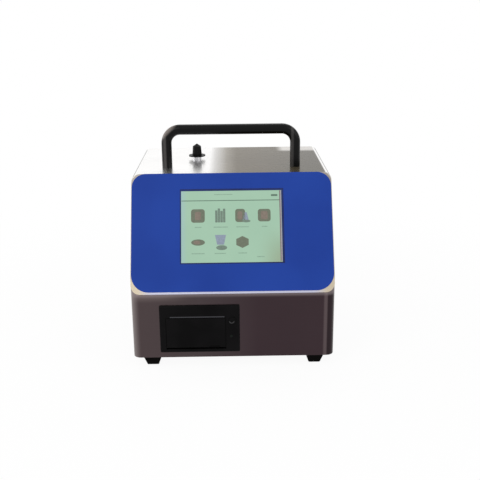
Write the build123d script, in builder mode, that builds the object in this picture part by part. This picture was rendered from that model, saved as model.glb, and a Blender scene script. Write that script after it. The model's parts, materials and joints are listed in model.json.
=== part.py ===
from build123d import *
import os
from math import cos, radians, sin, tan

# Bench-top airborne particle counter, millimetres.
# X runs across the front to the viewer's right, Y runs to the rear, Z is up.
# The origin lies on the floor, at the centre of the whole instrument's box.

# ---------------------------------------------------------------- driving dimensions

# Fits and sheet
fit_gap = 0.3            # clearance round a plate or a body in its opening
running_gap = 0.05       # radial clearance of a shaft in its hole
wall = 1.2               # case sheet
panel_wall = 1.5         # base plate and rear panel
lip_width = 10.0         # inward lips that carry the base plate and the rear panel

# Case
case_width = 230.0
case_depth = 222.0
lower_front_height = 76.0
front_tilt = 27.2        # slope of the display front from upright, degrees
slope_length = 140.2
corner_radius = 9.0      # upright corners of the lower front
top_bend_radius = 8.0    # bends between the top and the sides

# Front panel
plate_edge = 0.5         # plate edge to case side
plate_top_margin = 0.4   # plate edge to slope edge, at the top
plate_low_margin = 0.9   # plate edge to slope edge, at the bottom
plate_wall = 2.0
plate_corner = 10.8
overlay_edge = 0.4       # overlay edge to plate side
overlay_wall = 0.5
overlay_low_edge = 3.3   # bare metal strip under the overlay
overlay_top_corner = 16.0
overlay_low_corner = 20.0
window_width = 118.2
window_height = 86.6
window_centre = 77.9     # up the slope
glass_border = 2.0       # glass hidden under the overlay's edge
display_width = 126.0
display_height = 96.0
display_thickness = 9.0
display_cutout_width = 146.0
display_cutout_height = 106.0
bracket_wall = 1.2
bracket_rim_width = 162.0
bracket_rim_height = 112.0
stud_radius = 1.5
stud_spacing_x = 139.4
stud_spacing_y = 60.0
nut_height = 2.4
nut_radius = 3.0
stud_reach = 1.0         # stud left beyond its nut

# Carrying handle
handle_span = 152.0      # leg centre to leg centre
handle_tube_radius = 6.0
handle_bend = 16.0
handle_rise = 45.0       # tube centre above the case top
handle_back = 99.0       # behind the front face
handle_screw_radius = 2.5
handle_screw_depth = 16.0
handle_washer_radius = 7.0
handle_washer_wall = 1.5
handle_head_radius = 4.5
handle_head_height = 3.5

# Sampling port
inlet_x = -42.3
inlet_back = 146.0
inlet_collar_radius = 5.2
inlet_collar_height = 4.2
inlet_tip_radius = 3.6
inlet_tip_length = 10.0  # nozzle above its collar
inlet_bore_radius = 2.4
inlet_thread_radius = 4.0
inlet_thread_length = 12.0
inlet_seal_wall = 1.0
inlet_seal_radius = 7.0
inlet_nut_radius = 8.0
inlet_nut_height = 4.0
cap_brim_radius = 10.2
cap_brim_wall = 1.3
cap_foot_radius = 5.9
cap_shoulder_radius = 5.1
cap_shoulder_height = 12.2
cap_tip_height = 15.6
cap_flutes = 12
cap_flute_radius = 0.9
cap_headroom = 0.6       # nozzle end to the cap's roof

# Optical sensor on its table
sensor_width = 46.0
sensor_depth = 56.0
sensor_height = 34.0
sensor_table_height = 78.0
table_leg_span = 62.0
table_depth = 60.0
table_foot_width = 9.0
barb_radius = 2.4
barb_length = 7.0
barb_flange_radius = 4.0
barb_flange_height = 2.0
hose_radius = 4.0
hose_bend = 8.0
laser_radius = 7.0
laser_length = 32.0
detector_width = 17.0
detector_depth = 30.0
detector_height = 26.0

# Filter, pump and exhaust
filter_x = 26.0
filter_back = 165.0
filter_radius = 19.0
filter_height = 64.0
filter_outlet_height = 32.0
pump_x = 74.0
pump_head_width = 34.0
pump_head_depth = 32.0
pump_head_height = 38.0
pump_axis_height = 30.0
pump_plate_back = 150.0
pump_plate_wall = 1.5
pump_foot_depth = 26.0
motor_radius = 14.0
motor_length = 38.0
pump_port_spacing = 18.0
pump_hose_front = 96.0
exhaust_height = 76.0
exhaust_reach = 12.0
exhaust_flange_radius = 8.0
exhaust_flange_height = 3.0
exhaust_thread_radius = 5.0
exhaust_thread_length = 8.0
exhaust_bore_radius = 2.0
exhaust_barb_radius = 3.6

# Electronics
board_rear_gap = 30.0    # board to the rear panel
board_length = 100.0
board_height = 78.0
board_low_edge = 86.0
board_wall = 1.6
chip_height = 1.6
processor_side = 16.0
memory_width = 10.0
memory_length = 18.0
memory_offset = 20.0
plug_width = 14.0
plug_depth = 6.0
plug_height = 7.0
plug_pitch = 18.0
plug_drop = 30.0
capacitor_radius = 4.0
capacitor_height = 11.0
capacitor_pitch = 12.0
standoff_radius = 3.0
standoff_length = 6.0
supply_x = -42.0
supply_width = 52.0
supply_length = 92.0
supply_height = 34.0
supply_rear_gap = 30.0   # supply to the rear panel

# Panel printer
printer_x = -38.1
printer_height_centre = 35.4
printer_width = 90.6
printer_height = 57.0
printer_lip = 2.5        # frame face in front of the case
printer_lip_edge = 1.2   # rounding of the frame's outer edge
printer_body_width = 86.0
printer_body_height = 52.0
printer_body_depth = 54.0
printer_wall = 1.6
door_left = -38.0        # from the printer's centre
door_right = 29.2
door_top = 13.4
door_wall = 3.0
door_gap = 0.4
slot_height = 2.2
slot_left = -33.3
slot_right = 28.2
knuckle_radius = 3.0
hinge_pin_radius = 1.2
hinge_pin_length = 1.2
cheek_wall = 2.0
grip_width = 12.4
grip_height = 1.2
grip_depth = 0.8
platen_radius = 4.5
platen_shaft_radius = 2.0
platen_back = 6.5        # behind the case's front face
platen_drop = 4.9        # platen centre below the door's top
paper_gap = 0.3
head_wall = 2.4
head_width = 62.0
roll_width = 57.5
roll_radius = 17.0
roll_core_radius = 6.0
roll_back = 33.6
trough_wall = 2.4
tear_bar_wall = 0.8
tear_lip_height = 1.6
tear_tooth_pitch = 2.0
tear_tooth_depth = 0.6
button_x = 37.0          # from the printer's centre
button_height = 10.3
button_radius = 4.2
button_proud = 1.2
button_travel = 1.0
button_lip = 1.2
button_stem = 3.0
lens_x = 35.8
lens_height = -8.8
lens_radius = 1.6
lens_proud = 0.5
control_board_height = 36.0
control_board_wall = 1.6

# Rear panel, as seen from behind
fan_x = -58.0
fan_height = 148.0
fan_size = 60.0
fan_depth = 20.0
fan_bore_radius = 28.0
fan_hub_radius = 12.0
fan_blades = 7
fan_blade_wall = 1.4
fan_tip_gap = 1.0
fan_blade_edge = 0.5     # blade edge inside the hub's ends
fan_screw_spacing = 50.0
fan_root_pitch = 52.0    # blade angle from the fan's plane, degrees
fan_tip_pitch = 30.0
fan_root_chord = 15.0
fan_tip_chord = 19.0
fan_shaft_radius = 1.5
guard_wire = 1.8
guard_rings = (8.0, 14.5, 21.0, 27.5)
power_x = 75.0
power_height = 36.0
socket_width = 24.6
socket_height = 16.6
socket_depth = 16.0
socket_wall = 1.6
socket_flange_width = 50.0
socket_flange_height = 24.0
socket_flange_wall = 2.6
socket_corner = 5.0
socket_screw_spacing = 40.0
pin_width = 2.0
pin_height = 4.0
pin_length = 9.5
pin_spacing = 14.0
earth_pin_rise = 4.0
switch_height = 76.0
switch_width = 15.0
switch_length = 21.0
switch_flange_wall = 2.0
switch_body_depth = 12.0
rocker_width = 11.2
rocker_radius = 8.6
rocker_throw = 16.0      # full travel, degrees
rocker_gap = 0.35
rocker_crown = 4.2       # bottom of the rocker's shallow V above its pivot
rocker_pin_length = 0.5
serial_x = 20.0
serial_height = 36.0
serial_flange_width = 31.0
serial_flange_height = 12.6
serial_shell_width = 17.0
serial_shell_height = 8.6
serial_shell_reach = 5.5
serial_hole_radius = 0.55
serial_pitch = 2.76
serial_row_pitch = 2.84

# Feet and fasteners
foot_height = 14.0
foot_top_side = 23.0
foot_low_side = 13.5
foot_corner = 1.6
foot_inset_x = 21.0      # foot centre from the case side
foot_front = 18.0        # foot centre behind the front face
foot_rear = 20.0         # foot centre ahead of the rear face
foot_recess_radius = 4.4
foot_recess_depth = 6.0
foot_screw_radius = 2.0
foot_head_radius = 3.8
foot_head_height = 2.6
foot_nut_height = 3.2
small_screw_radius = 1.5
small_screw_length = 6.0
small_head_radius = 2.8
small_head_height = 1.8
vent_slot_length = 44.0
vent_slot_width = 3.0
vent_slot_pitch = 7.0
vent_slots = 7

# ---------------------------------------------------------------- places

tilt = radians(front_tilt)
slope_run = slope_length * sin(tilt)
case_height = lower_front_height + slope_length * cos(tilt)
front_reach = printer_lip + button_proud
front_y = (front_reach - case_depth - exhaust_reach) / 2
rear_y = front_y + case_depth
top_z = foot_height + case_height
half_width = case_width / 2

base = Plane(origin=(0, front_y, foot_height))
top = Plane(origin=(0, front_y, top_z))
side = Plane(origin=(0, front_y, foot_height), x_dir=(0, 1, 0), z_dir=(1, 0, 0))
front = Plane(origin=(0, front_y, foot_height), x_dir=(1, 0, 0), z_dir=(0, -1, 0))
rear = Plane(origin=(0, rear_y, foot_height), x_dir=(-1, 0, 0), z_dir=(0, 1, 0))
slope = Plane(
    origin=(0, front_y, foot_height + lower_front_height),
    x_dir=(1, 0, 0),
    z_dir=(0, -cos(tilt), sin(tilt)),
)
inlet = Plane(origin=(inlet_x, front_y + inlet_back, top_z))


def section(plane):
    """The plane on which a turned piece's profile is drawn: (radius, height)."""
    return Plane(origin=plane.origin, x_dir=plane.x_dir, z_dir=-plane.y_dir)


def axis_of(plane):
    """The turning axis of a plane: its normal through its origin."""
    return Axis(plane.origin, plane.z_dir)


def finish(piece, name):
    """Name a finished piece and write it."""
    piece.part.label = name
    export_step(piece.part, f"parts/{name}.step")


os.makedirs("parts", exist_ok=True)

# ---------------------------------------------------------------- case shell

case_outline = [
    (0, 0),
    (0, lower_front_height),
    (slope_run, case_height),
    (case_depth, case_height),
    (case_depth, 0),
]
inner_half_width = half_width - wall
panel_seat = panel_wall + wall      # recess and lip at the base and the rear

with BuildPart() as cavity:
    with BuildSketch(side):
        with BuildLine():
            Polyline(*case_outline, close=True)
        make_face()
        offset(amount=-wall, kind=Kind.INTERSECTION)
        with Locations((-case_depth, panel_seat)):
            Rectangle(
                2 * case_depth - panel_seat,
                2 * case_height,
                align=(Align.MIN, Align.MIN),
                mode=Mode.INTERSECT,
            )
    extrude(amount=inner_half_width, both=True)
    fillet(cavity.edges().filter_by(Axis.Z).group_by(Axis.Y)[0], corner_radius - wall)
    fillet(cavity.edges().filter_by(Axis.Y).group_by(Axis.Z)[-1], top_bend_radius - wall)


def base_outline(gap):
    """Outline of the base plate in its recess, drawn in the base plane."""
    with BuildSketch() as outline:
        with Locations((0, wall + gap)):
            Rectangle(
                2 * (inner_half_width - gap),
                case_depth - wall - gap,
                align=(Align.CENTER, Align.MIN),
            )
        front_corners = outline.vertices().group_by(Axis.Y)[0]
        fillet(front_corners, corner_radius - wall - gap)
    return outline.sketch


def rear_outline(gap):
    """Outline of the rear panel in its recess, drawn in the rear plane."""
    with BuildSketch() as outline:
        with Locations((0, panel_wall + gap)):
            Rectangle(
                2 * (inner_half_width - gap),
                case_height - wall - panel_wall - 2 * gap,
                align=(Align.CENTER, Align.MIN),
            )
        top_corners = outline.vertices().group_by(Axis.Y)[-1]
        fillet(top_corners, top_bend_radius - wall - gap)
    return outline.sketch


opening_half_width = inner_half_width - lip_width
base_opening = (wall + lip_width, case_depth - panel_seat - lip_width)
rear_opening = (panel_seat + lip_width, case_height - wall - lip_width)
lip_line = inner_half_width - lip_width / 2
base_screw_points = [
    (sign * lip_line, back)
    for sign in (-1, 1)
    for back in (case_depth * 0.3, case_depth * 0.7)
] + [(0, wall + lip_width / 2)]
rear_screw_points = [
    (sign * lip_line, height)
    for sign in (-1, 1)
    for height in (rear_opening[0] + lip_width, case_height / 2, rear_opening[1] - lip_width)
]
foot_points = [
    (sign * (half_width - foot_inset_x), back)
    for back in (foot_front, case_depth - foot_rear)
    for sign in (-1, 1)
]
stud_points = [
    (x, window_centre + y)
    for x in (-stud_spacing_x / 2, stud_spacing_x / 2)
    for y in (-stud_spacing_y / 2, stud_spacing_y / 2)
]
handle_points = [(-handle_span / 2, handle_back), (handle_span / 2, handle_back)]
board_back = case_depth - board_rear_gap - board_length
board_points = [
    (back, height)
    for back in (board_back + 5, board_back + board_length - 5)
    for height in (board_low_edge + 5, board_low_edge + board_height - 5)
]

with BuildPart() as case_shell:
    with BuildSketch(side):
        with BuildLine():
            Polyline(*case_outline, close=True)
        make_face()
    extrude(amount=half_width, both=True)
    fillet(case_shell.edges().filter_by(Axis.Z).group_by(Axis.Y)[0], corner_radius)
    fillet(case_shell.edges().filter_by(Axis.Y).group_by(Axis.Z)[-1], top_bend_radius)
    add(cavity.part, mode=Mode.SUBTRACT)
    # Recess and opening of the base
    with BuildSketch(base):
        add(base_outline(0))
    extrude(amount=panel_wall, mode=Mode.SUBTRACT)
    with BuildSketch(base):
        with Locations((0, base_opening[0])):
            Rectangle(
                2 * opening_half_width,
                base_opening[1] - base_opening[0],
                align=(Align.CENTER, Align.MIN),
            )
        with Locations(*base_screw_points):
            Circle(small_screw_radius + running_gap)
    extrude(amount=2 * panel_seat, mode=Mode.SUBTRACT)
    # Recess and opening of the rear
    with BuildSketch(rear):
        add(rear_outline(0))
    extrude(amount=-panel_wall, mode=Mode.SUBTRACT)
    with BuildSketch(rear):
        with Locations((0, rear_opening[0])):
            Rectangle(
                2 * opening_half_width,
                rear_opening[1] - rear_opening[0],
                align=(Align.CENTER, Align.MIN),
            )
        with Locations(*rear_screw_points):
            Circle(small_screw_radius + running_gap)
    extrude(amount=-2 * panel_seat, mode=Mode.SUBTRACT)
    # Printer opening
    with BuildSketch(front):
        with Locations((printer_x, printer_height_centre)):
            Rectangle(printer_body_width + 2 * fit_gap, printer_body_height + 2 * fit_gap)
    extrude(amount=-2 * wall, mode=Mode.SUBTRACT)
    # Display opening
    with BuildSketch(slope):
        with Locations((0, window_centre)):
            Rectangle(display_cutout_width, display_cutout_height)
    extrude(amount=-2 * wall, mode=Mode.SUBTRACT)
    # Handle and sampling port holes
    with BuildSketch(top):
        with Locations(*handle_points):
            Circle(handle_screw_radius + fit_gap)
        with Locations((inlet_x, inlet_back)):
            Circle(inlet_thread_radius + fit_gap)
    extrude(amount=-2 * wall, mode=Mode.SUBTRACT)
finish(case_shell, "case_shell")

with BuildPart() as base_plate:
    with BuildSketch(base):
        add(base_outline(fit_gap))
        with Locations(*base_screw_points):
            Circle(small_screw_radius + fit_gap, mode=Mode.SUBTRACT)
        with Locations(*foot_points):
            Circle(foot_screw_radius + fit_gap, mode=Mode.SUBTRACT)
        with Locations((0, case_depth / 4)):
            with GridLocations(vent_slot_pitch, 0, vent_slots, 1):
                SlotOverall(vent_slot_length, vent_slot_width, rotation=90, mode=Mode.SUBTRACT)
    extrude(amount=panel_wall)
finish(base_plate, "base_plate")

fan_screw_points = [
    (fan_x + x * fan_screw_spacing / 2, fan_height + y * fan_screw_spacing / 2)
    for x in (-1, 1)
    for y in (-1, 1)
]
with BuildPart() as rear_panel:
    with BuildSketch(rear):
        add(rear_outline(fit_gap))
        with Locations(*rear_screw_points):
            Circle(small_screw_radius + fit_gap, mode=Mode.SUBTRACT)
        with Locations((fan_x, fan_height)):
            Circle(fan_bore_radius, mode=Mode.SUBTRACT)
        with Locations(*fan_screw_points):
            Circle(small_screw_radius + fit_gap, mode=Mode.SUBTRACT)
        with Locations((-pump_x, exhaust_height)):
            Circle(exhaust_thread_radius + fit_gap, mode=Mode.SUBTRACT)
        with Locations((power_x, power_height)):
            Rectangle(
                socket_width + 2 * (socket_wall + fit_gap),
                socket_height + 2 * (socket_wall + fit_gap),
                mode=Mode.SUBTRACT,
            )
        with Locations((power_x, switch_height)):
            Rectangle(
                switch_width - 2 + 2 * fit_gap,
                switch_length - 2 + 2 * fit_gap,
                mode=Mode.SUBTRACT,
            )
        with Locations((serial_x, serial_height)):
            Rectangle(
                serial_shell_width + 2 * fit_gap,
                serial_shell_height + 2 * fit_gap,
                mode=Mode.SUBTRACT,
            )
    extrude(amount=-panel_wall)
finish(rear_panel, "rear_panel")

# ---------------------------------------------------------------- front panel

glass_width = window_width + 2 * glass_border
glass_height = window_height + 2 * glass_border
plate_width = case_width - 2 * plate_edge
plate_top_edge = slope_length - plate_top_margin
plate_height = plate_top_edge - plate_low_margin
overlay_width = plate_width - 2 * overlay_edge

with BuildPart() as front_plate:
    with BuildSketch(slope):
        with Locations((0, plate_low_margin + plate_height / 2)):
            RectangleRounded(plate_width, plate_height, plate_corner)
        with Locations((0, window_centre)):
            Rectangle(glass_width + 2 * fit_gap, glass_height + 2 * fit_gap, mode=Mode.SUBTRACT)
    extrude(amount=plate_wall)
    with BuildSketch(slope):
        with Locations(*stud_points):
            Circle(stud_radius)
    extrude(amount=-(wall + bracket_wall + nut_height + stud_reach))
finish(front_plate, "front_plate")

with BuildPart() as front_overlay:
    with BuildSketch(slope.offset(plate_wall)):
        with Locations((0, overlay_low_edge)):
            Rectangle(
                overlay_width,
                plate_top_edge - overlay_low_edge,
                align=(Align.CENTER, Align.MIN),
            )
    extrude(amount=overlay_wall)
    overlay_corners = front_overlay.edges().filter_by(axis_of(slope)).group_by(Axis.Z)
    fillet(overlay_corners[0], overlay_low_corner)
    overlay_corners = front_overlay.edges().filter_by(axis_of(slope)).group_by(Axis.Z)
    fillet(overlay_corners[-1], overlay_top_corner)
    with BuildSketch(slope.offset(plate_wall)):
        with Locations((0, window_centre)):
            Rectangle(window_width, window_height)
    extrude(amount=overlay_wall, mode=Mode.SUBTRACT)
finish(front_overlay, "front_overlay")

with BuildPart() as touch_glass:
    with BuildSketch(slope):
        with Locations((0, window_centre)):
            Rectangle(glass_width, glass_height)
    extrude(amount=plate_wall)
finish(touch_glass, "touch_glass")

with BuildPart() as display_module:
    with BuildSketch(slope):
        with Locations((0, window_centre)):
            Rectangle(display_width, display_height)
    extrude(amount=-display_thickness)
    chamfer(display_module.faces().sort_by(axis_of(slope))[0].edges(), 1.5)
finish(display_module, "display_module")

pocket_width = display_width + 2 * fit_gap
pocket_height = display_height + 2 * fit_gap
pocket_depth = display_thickness - wall
bracket_face = slope.offset(-wall)
with BuildPart() as display_bracket:
    with BuildSketch(bracket_face):
        with Locations((0, window_centre)):
            Rectangle(bracket_rim_width, bracket_rim_height)
        with Locations(*stud_points):
            Circle(stud_radius + fit_gap, mode=Mode.SUBTRACT)
    extrude(amount=-bracket_wall)
    with BuildSketch(bracket_face):
        with Locations((0, window_centre)):
            Rectangle(pocket_width + 2 * bracket_wall, pocket_height + 2 * bracket_wall)
    extrude(amount=-(pocket_depth + bracket_wall))
    with BuildSketch(bracket_face):
        with Locations((0, window_centre)):
            Rectangle(pocket_width, pocket_height)
    extrude(amount=-pocket_depth, mode=Mode.SUBTRACT)
    with BuildSketch(bracket_face):
        with Locations((0, window_centre)):
            Rectangle(pocket_width / 2, pocket_height / 2)
    extrude(amount=-2 * display_thickness, mode=Mode.SUBTRACT)
finish(display_bracket, "display_bracket")

with BuildPart() as display_nuts:
    with BuildSketch(slope.offset(-(wall + bracket_wall))):
        with Locations(*stud_points):
            RegularPolygon(nut_radius, 6)
            Circle(stud_radius + running_gap, mode=Mode.SUBTRACT)
    extrude(amount=-nut_height)
finish(display_nuts, "display_nuts")

# ---------------------------------------------------------------- carrying handle

handle_plane = Plane(
    origin=(0, front_y + handle_back, top_z), x_dir=(1, 0, 0), z_dir=(0, -1, 0)
)
with BuildPart() as carry_handle:
    with BuildLine(handle_plane):
        FilletPolyline(
            (-handle_span / 2, 0),
            (-handle_span / 2, handle_rise),
            (handle_span / 2, handle_rise),
            (handle_span / 2, 0),
            radius=handle_bend,
        )
    with BuildSketch(top):
        with Locations(handle_points[0]):
            Circle(handle_tube_radius)
    sweep()
    with BuildSketch(top):
        with Locations(*handle_points):
            Circle(handle_screw_radius + running_gap)
    extrude(amount=handle_screw_depth + fit_gap, mode=Mode.SUBTRACT)
finish(carry_handle, "carry_handle")

under_top = top.offset(-wall)
with BuildPart() as handle_washers:
    with BuildSketch(under_top):
        with Locations(*handle_points):
            Circle(handle_washer_radius)
            Circle(handle_screw_radius + fit_gap, mode=Mode.SUBTRACT)
    extrude(amount=-handle_washer_wall)
finish(handle_washers, "handle_washers")

with BuildPart() as handle_screws:
    with BuildSketch(under_top.offset(-handle_washer_wall)):
        with Locations(*handle_points):
            RegularPolygon(handle_head_radius, 6)
    extrude(amount=-handle_head_height)
    with BuildSketch(under_top.offset(-handle_washer_wall)):
        with Locations(*handle_points):
            Circle(handle_screw_radius)
    extrude(amount=handle_washer_wall + wall + handle_screw_depth)
finish(handle_screws, "handle_screws")

# ---------------------------------------------------------------- sampling port

inlet_axis = axis_of(inlet)
inlet_end = inlet_collar_height + inlet_tip_length
with BuildPart() as inlet_nozzle:
    with BuildSketch(section(inlet)):
        with BuildLine():
            Polyline(
                (inlet_bore_radius, -inlet_thread_length - barb_length),
                (barb_radius + 0.8, -inlet_thread_length - barb_length),
                (barb_radius + 0.8, -inlet_thread_length),
                (inlet_thread_radius, -inlet_thread_length),
                (inlet_thread_radius, 0),
                (inlet_collar_radius, 0),
                (inlet_collar_radius, inlet_collar_height),
                (inlet_tip_radius, inlet_collar_height),
                (inlet_tip_radius, inlet_end),
                (inlet_bore_radius, inlet_end),
                close=True,
            )
        make_face()
    revolve(axis=inlet_axis)
finish(inlet_nozzle, "inlet_nozzle")

with BuildPart() as inlet_seal:
    with BuildSketch(under_top):
        with Locations((inlet_x, inlet_back)):
            Circle(inlet_seal_radius)
            Circle(inlet_thread_radius + running_gap, mode=Mode.SUBTRACT)
    extrude(amount=-inlet_seal_wall)
finish(inlet_seal, "inlet_seal")

with BuildPart() as inlet_nut:
    with BuildSketch(under_top.offset(-inlet_seal_wall)):
        with Locations((inlet_x, inlet_back)):
            RegularPolygon(inlet_nut_radius, 6)
            Circle(inlet_thread_radius + running_gap, mode=Mode.SUBTRACT)
    extrude(amount=-inlet_nut_height)
finish(inlet_nut, "inlet_nut")

cap_seat = inlet.offset(inlet_collar_height)
cap_bore_radius = inlet_tip_radius + running_gap
with BuildPart() as inlet_cap:
    with BuildSketch(section(cap_seat)):
        with BuildLine():
            Polyline(
                (0, inlet_tip_length + cap_headroom),
                (cap_bore_radius, inlet_tip_length + cap_headroom),
                (cap_bore_radius, 0),
                (cap_brim_radius, 0),
                (cap_brim_radius, cap_brim_wall),
                (cap_foot_radius, cap_brim_wall),
                (cap_shoulder_radius, cap_shoulder_height),
                (0, cap_tip_height),
                close=True,
            )
        make_face()
    revolve(axis=inlet_axis)
    with BuildSketch(cap_seat.offset(cap_brim_wall)):
        with PolarLocations(cap_foot_radius + cap_flute_radius / 3, cap_flutes):
            Circle(cap_flute_radius)
    extrude(amount=cap_tip_height, mode=Mode.SUBTRACT)
finish(inlet_cap, "inlet_cap")

# ---------------------------------------------------------------- optical sensor

floor_top = base.offset(panel_wall)         # upper face of the base plate
sensor_seat = Plane(
    origin=(inlet_x, front_y + inlet_back, foot_height + sensor_table_height)
)
sensor_top = sensor_seat.offset(sensor_height)
sensor_mid = sensor_table_height + sensor_height / 2
leg_drop = sensor_table_height - panel_wall
leg_outer = table_leg_span / 2
leg_inner = leg_outer - bracket_wall
table_foot = leg_outer + table_foot_width
foot_rise = -leg_drop + bracket_wall
bent_outline = [
    (-table_foot, -leg_drop),
    (-leg_inner, -leg_drop),
    (-leg_inner, -bracket_wall),
    (leg_inner, -bracket_wall),
    (leg_inner, -leg_drop),
    (table_foot, -leg_drop),
    (table_foot, foot_rise),
    (leg_outer, foot_rise),
    (leg_outer, 0),
    (-leg_outer, 0),
    (-leg_outer, foot_rise),
    (-table_foot, foot_rise),
]
with BuildPart() as sensor_bracket:
    with BuildSketch(section(sensor_seat)):
        with BuildLine():
            Polyline(*bent_outline, close=True)
        make_face()
    extrude(amount=table_depth / 2, both=True)
finish(sensor_bracket, "sensor_bracket")

sensor_front = Plane(
    origin=(inlet_x, front_y + inlet_back - sensor_depth / 2, foot_height + sensor_mid),
    x_dir=(1, 0, 0),
    z_dir=(0, -1, 0),
)
sensor_left = Plane(
    origin=(inlet_x - sensor_width / 2, front_y + inlet_back, foot_height + sensor_mid),
    x_dir=(0, -1, 0),
    z_dir=(-1, 0, 0),
)
sensor_right = Plane(
    origin=(inlet_x + sensor_width / 2, front_y + inlet_back, foot_height + sensor_mid),
    x_dir=(0, 1, 0),
    z_dir=(1, 0, 0),
)


def barb_profile(bore):
    """Profile of a hose barb that stands on a plane: flange, then stem."""
    return [
        (bore, 0),
        (barb_flange_radius, 0),
        (barb_flange_radius, barb_flange_height),
        (barb_radius, barb_flange_height),
        (barb_radius, barb_flange_height + barb_length),
        (bore, barb_flange_height + barb_length),
    ]


barb_bore = barb_radius - 0.9
hose_start = barb_flange_height     # a hose butts on the barb's flange
with BuildPart() as sensor_block:
    with BuildSketch(sensor_seat):
        Rectangle(sensor_width, sensor_depth)
    extrude(amount=sensor_height)
    chamfer(sensor_block.edges().filter_by(Axis.Z), 2)
    for port in (sensor_top, sensor_right):
        with BuildSketch(section(port)):
            with BuildLine():
                Polyline(*barb_profile(barb_bore), close=True)
            make_face()
        revolve(axis=axis_of(port))
        with BuildSketch(port):
            Circle(barb_bore)
        extrude(amount=-sensor_height / 2, mode=Mode.SUBTRACT)
finish(sensor_block, "sensor_block")

with BuildPart() as laser_module:
    with BuildSketch(section(sensor_front)):
        with BuildLine():
            Polyline(
                (0, 0),
                (laser_radius + 3, 0),
                (laser_radius + 3, 3),
                (laser_radius, 3),
                (laser_radius, laser_length),
                (0, laser_length),
                close=True,
            )
        make_face()
    revolve(axis=axis_of(sensor_front))
    for groove in range(3):
        with BuildSketch(sensor_front.offset(8 + 6 * groove)):
            Circle(laser_radius)
            Circle(laser_radius - 1, mode=Mode.SUBTRACT)
        extrude(amount=3, mode=Mode.SUBTRACT)
finish(laser_module, "laser_module")

with BuildPart() as detector_housing:
    with BuildSketch(sensor_left):
        Rectangle(detector_depth, detector_height)
    extrude(amount=detector_width)
    chamfer(detector_housing.faces().sort_by(Axis.X)[0].edges(), 1.5)
finish(detector_housing, "detector_housing")

tube_top = inlet.offset(-inlet_thread_length)
sample_tube_length = tube_top.origin.Z - sensor_top.origin.Z - barb_flange_height
nozzle_barb_radius = barb_radius + 0.8
with BuildPart() as sample_tube:
    with BuildSketch(tube_top):
        Circle(hose_radius)
    extrude(amount=-sample_tube_length)
    with BuildSketch(tube_top):
        Circle(nozzle_barb_radius + running_gap)
    extrude(amount=-(barb_length + fit_gap), mode=Mode.SUBTRACT)
    with BuildSketch(tube_top):
        Circle(barb_radius + running_gap)
    extrude(amount=-sample_tube_length, mode=Mode.SUBTRACT)
finish(sample_tube, "sample_tube")

# ---------------------------------------------------------------- filter and pump

filter_seat = Plane(origin=(filter_x, front_y + filter_back, foot_height + panel_wall))
filter_top = filter_seat.offset(filter_height)
filter_side = Plane(
    origin=(filter_x, front_y + filter_back - filter_radius, foot_height + filter_outlet_height),
    x_dir=(1, 0, 0),
    z_dir=(0, -1, 0),
)
with BuildPart() as filter_capsule:
    with BuildSketch(section(filter_seat)):
        with BuildLine():
            Polyline(
                (0, 0),
                (filter_radius, 0),
                (filter_radius, 5),
                (filter_radius - 2, 7),
                (filter_radius - 2, filter_height - 14),
                (filter_radius, filter_height - 12),
                (filter_radius, filter_height - 7),
                (filter_radius - 8, filter_height),
                (0, filter_height),
                close=True,
            )
        make_face()
    revolve(axis=axis_of(filter_seat))
    with BuildSketch(filter_side):
        Circle(barb_flange_radius)
    extrude(amount=-4)
    for port in (filter_top, filter_side):
        with BuildSketch(section(port)):
            with BuildLine():
                Polyline(*barb_profile(barb_bore), close=True)
            make_face()
        revolve(axis=axis_of(port))
finish(filter_capsule, "filter_capsule")

pump_plate = Plane(
    origin=(pump_x, front_y + pump_plate_back, foot_height),
    x_dir=(1, 0, 0),
    z_dir=(0, -1, 0),
)
pump_plate_top = pump_axis_height + pump_head_height / 2
with BuildPart() as pump_bracket:
    with BuildSketch(pump_plate):
        with Locations((0, panel_wall)):
            Rectangle(
                pump_head_width + 6,
                pump_plate_top - panel_wall,
                align=(Align.CENTER, Align.MIN),
            )
        with Locations((0, pump_axis_height)):
            Circle(motor_radius / 3, mode=Mode.SUBTRACT)
    extrude(amount=-pump_plate_wall)
    with BuildSketch(floor_top):
        with Locations((pump_x, pump_plate_back)):
            Rectangle(
                pump_head_width + 6,
                pump_foot_depth,
                align=(Align.CENTER, Align.MIN),
            )
    extrude(amount=pump_plate_wall)
finish(pump_bracket, "pump_bracket")

motor_face = Plane(
    origin=(pump_x, front_y + pump_plate_back + pump_plate_wall, foot_height + pump_axis_height),
    x_dir=(1, 0, 0),
    z_dir=(0, 1, 0),
)
with BuildPart() as pump_motor:
    with BuildSketch(section(motor_face)):
        with BuildLine():
            Polyline(
                (0, 0),
                (motor_radius, 0),
                (motor_radius, motor_length - 1.5),
                (motor_radius - 1.5, motor_length),
                (motor_radius / 3, motor_length),
                (motor_radius / 3, motor_length + 3),
                (0, motor_length + 3),
                close=True,
            )
        make_face()
    revolve(axis=axis_of(motor_face))
finish(pump_motor, "pump_motor")

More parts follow.
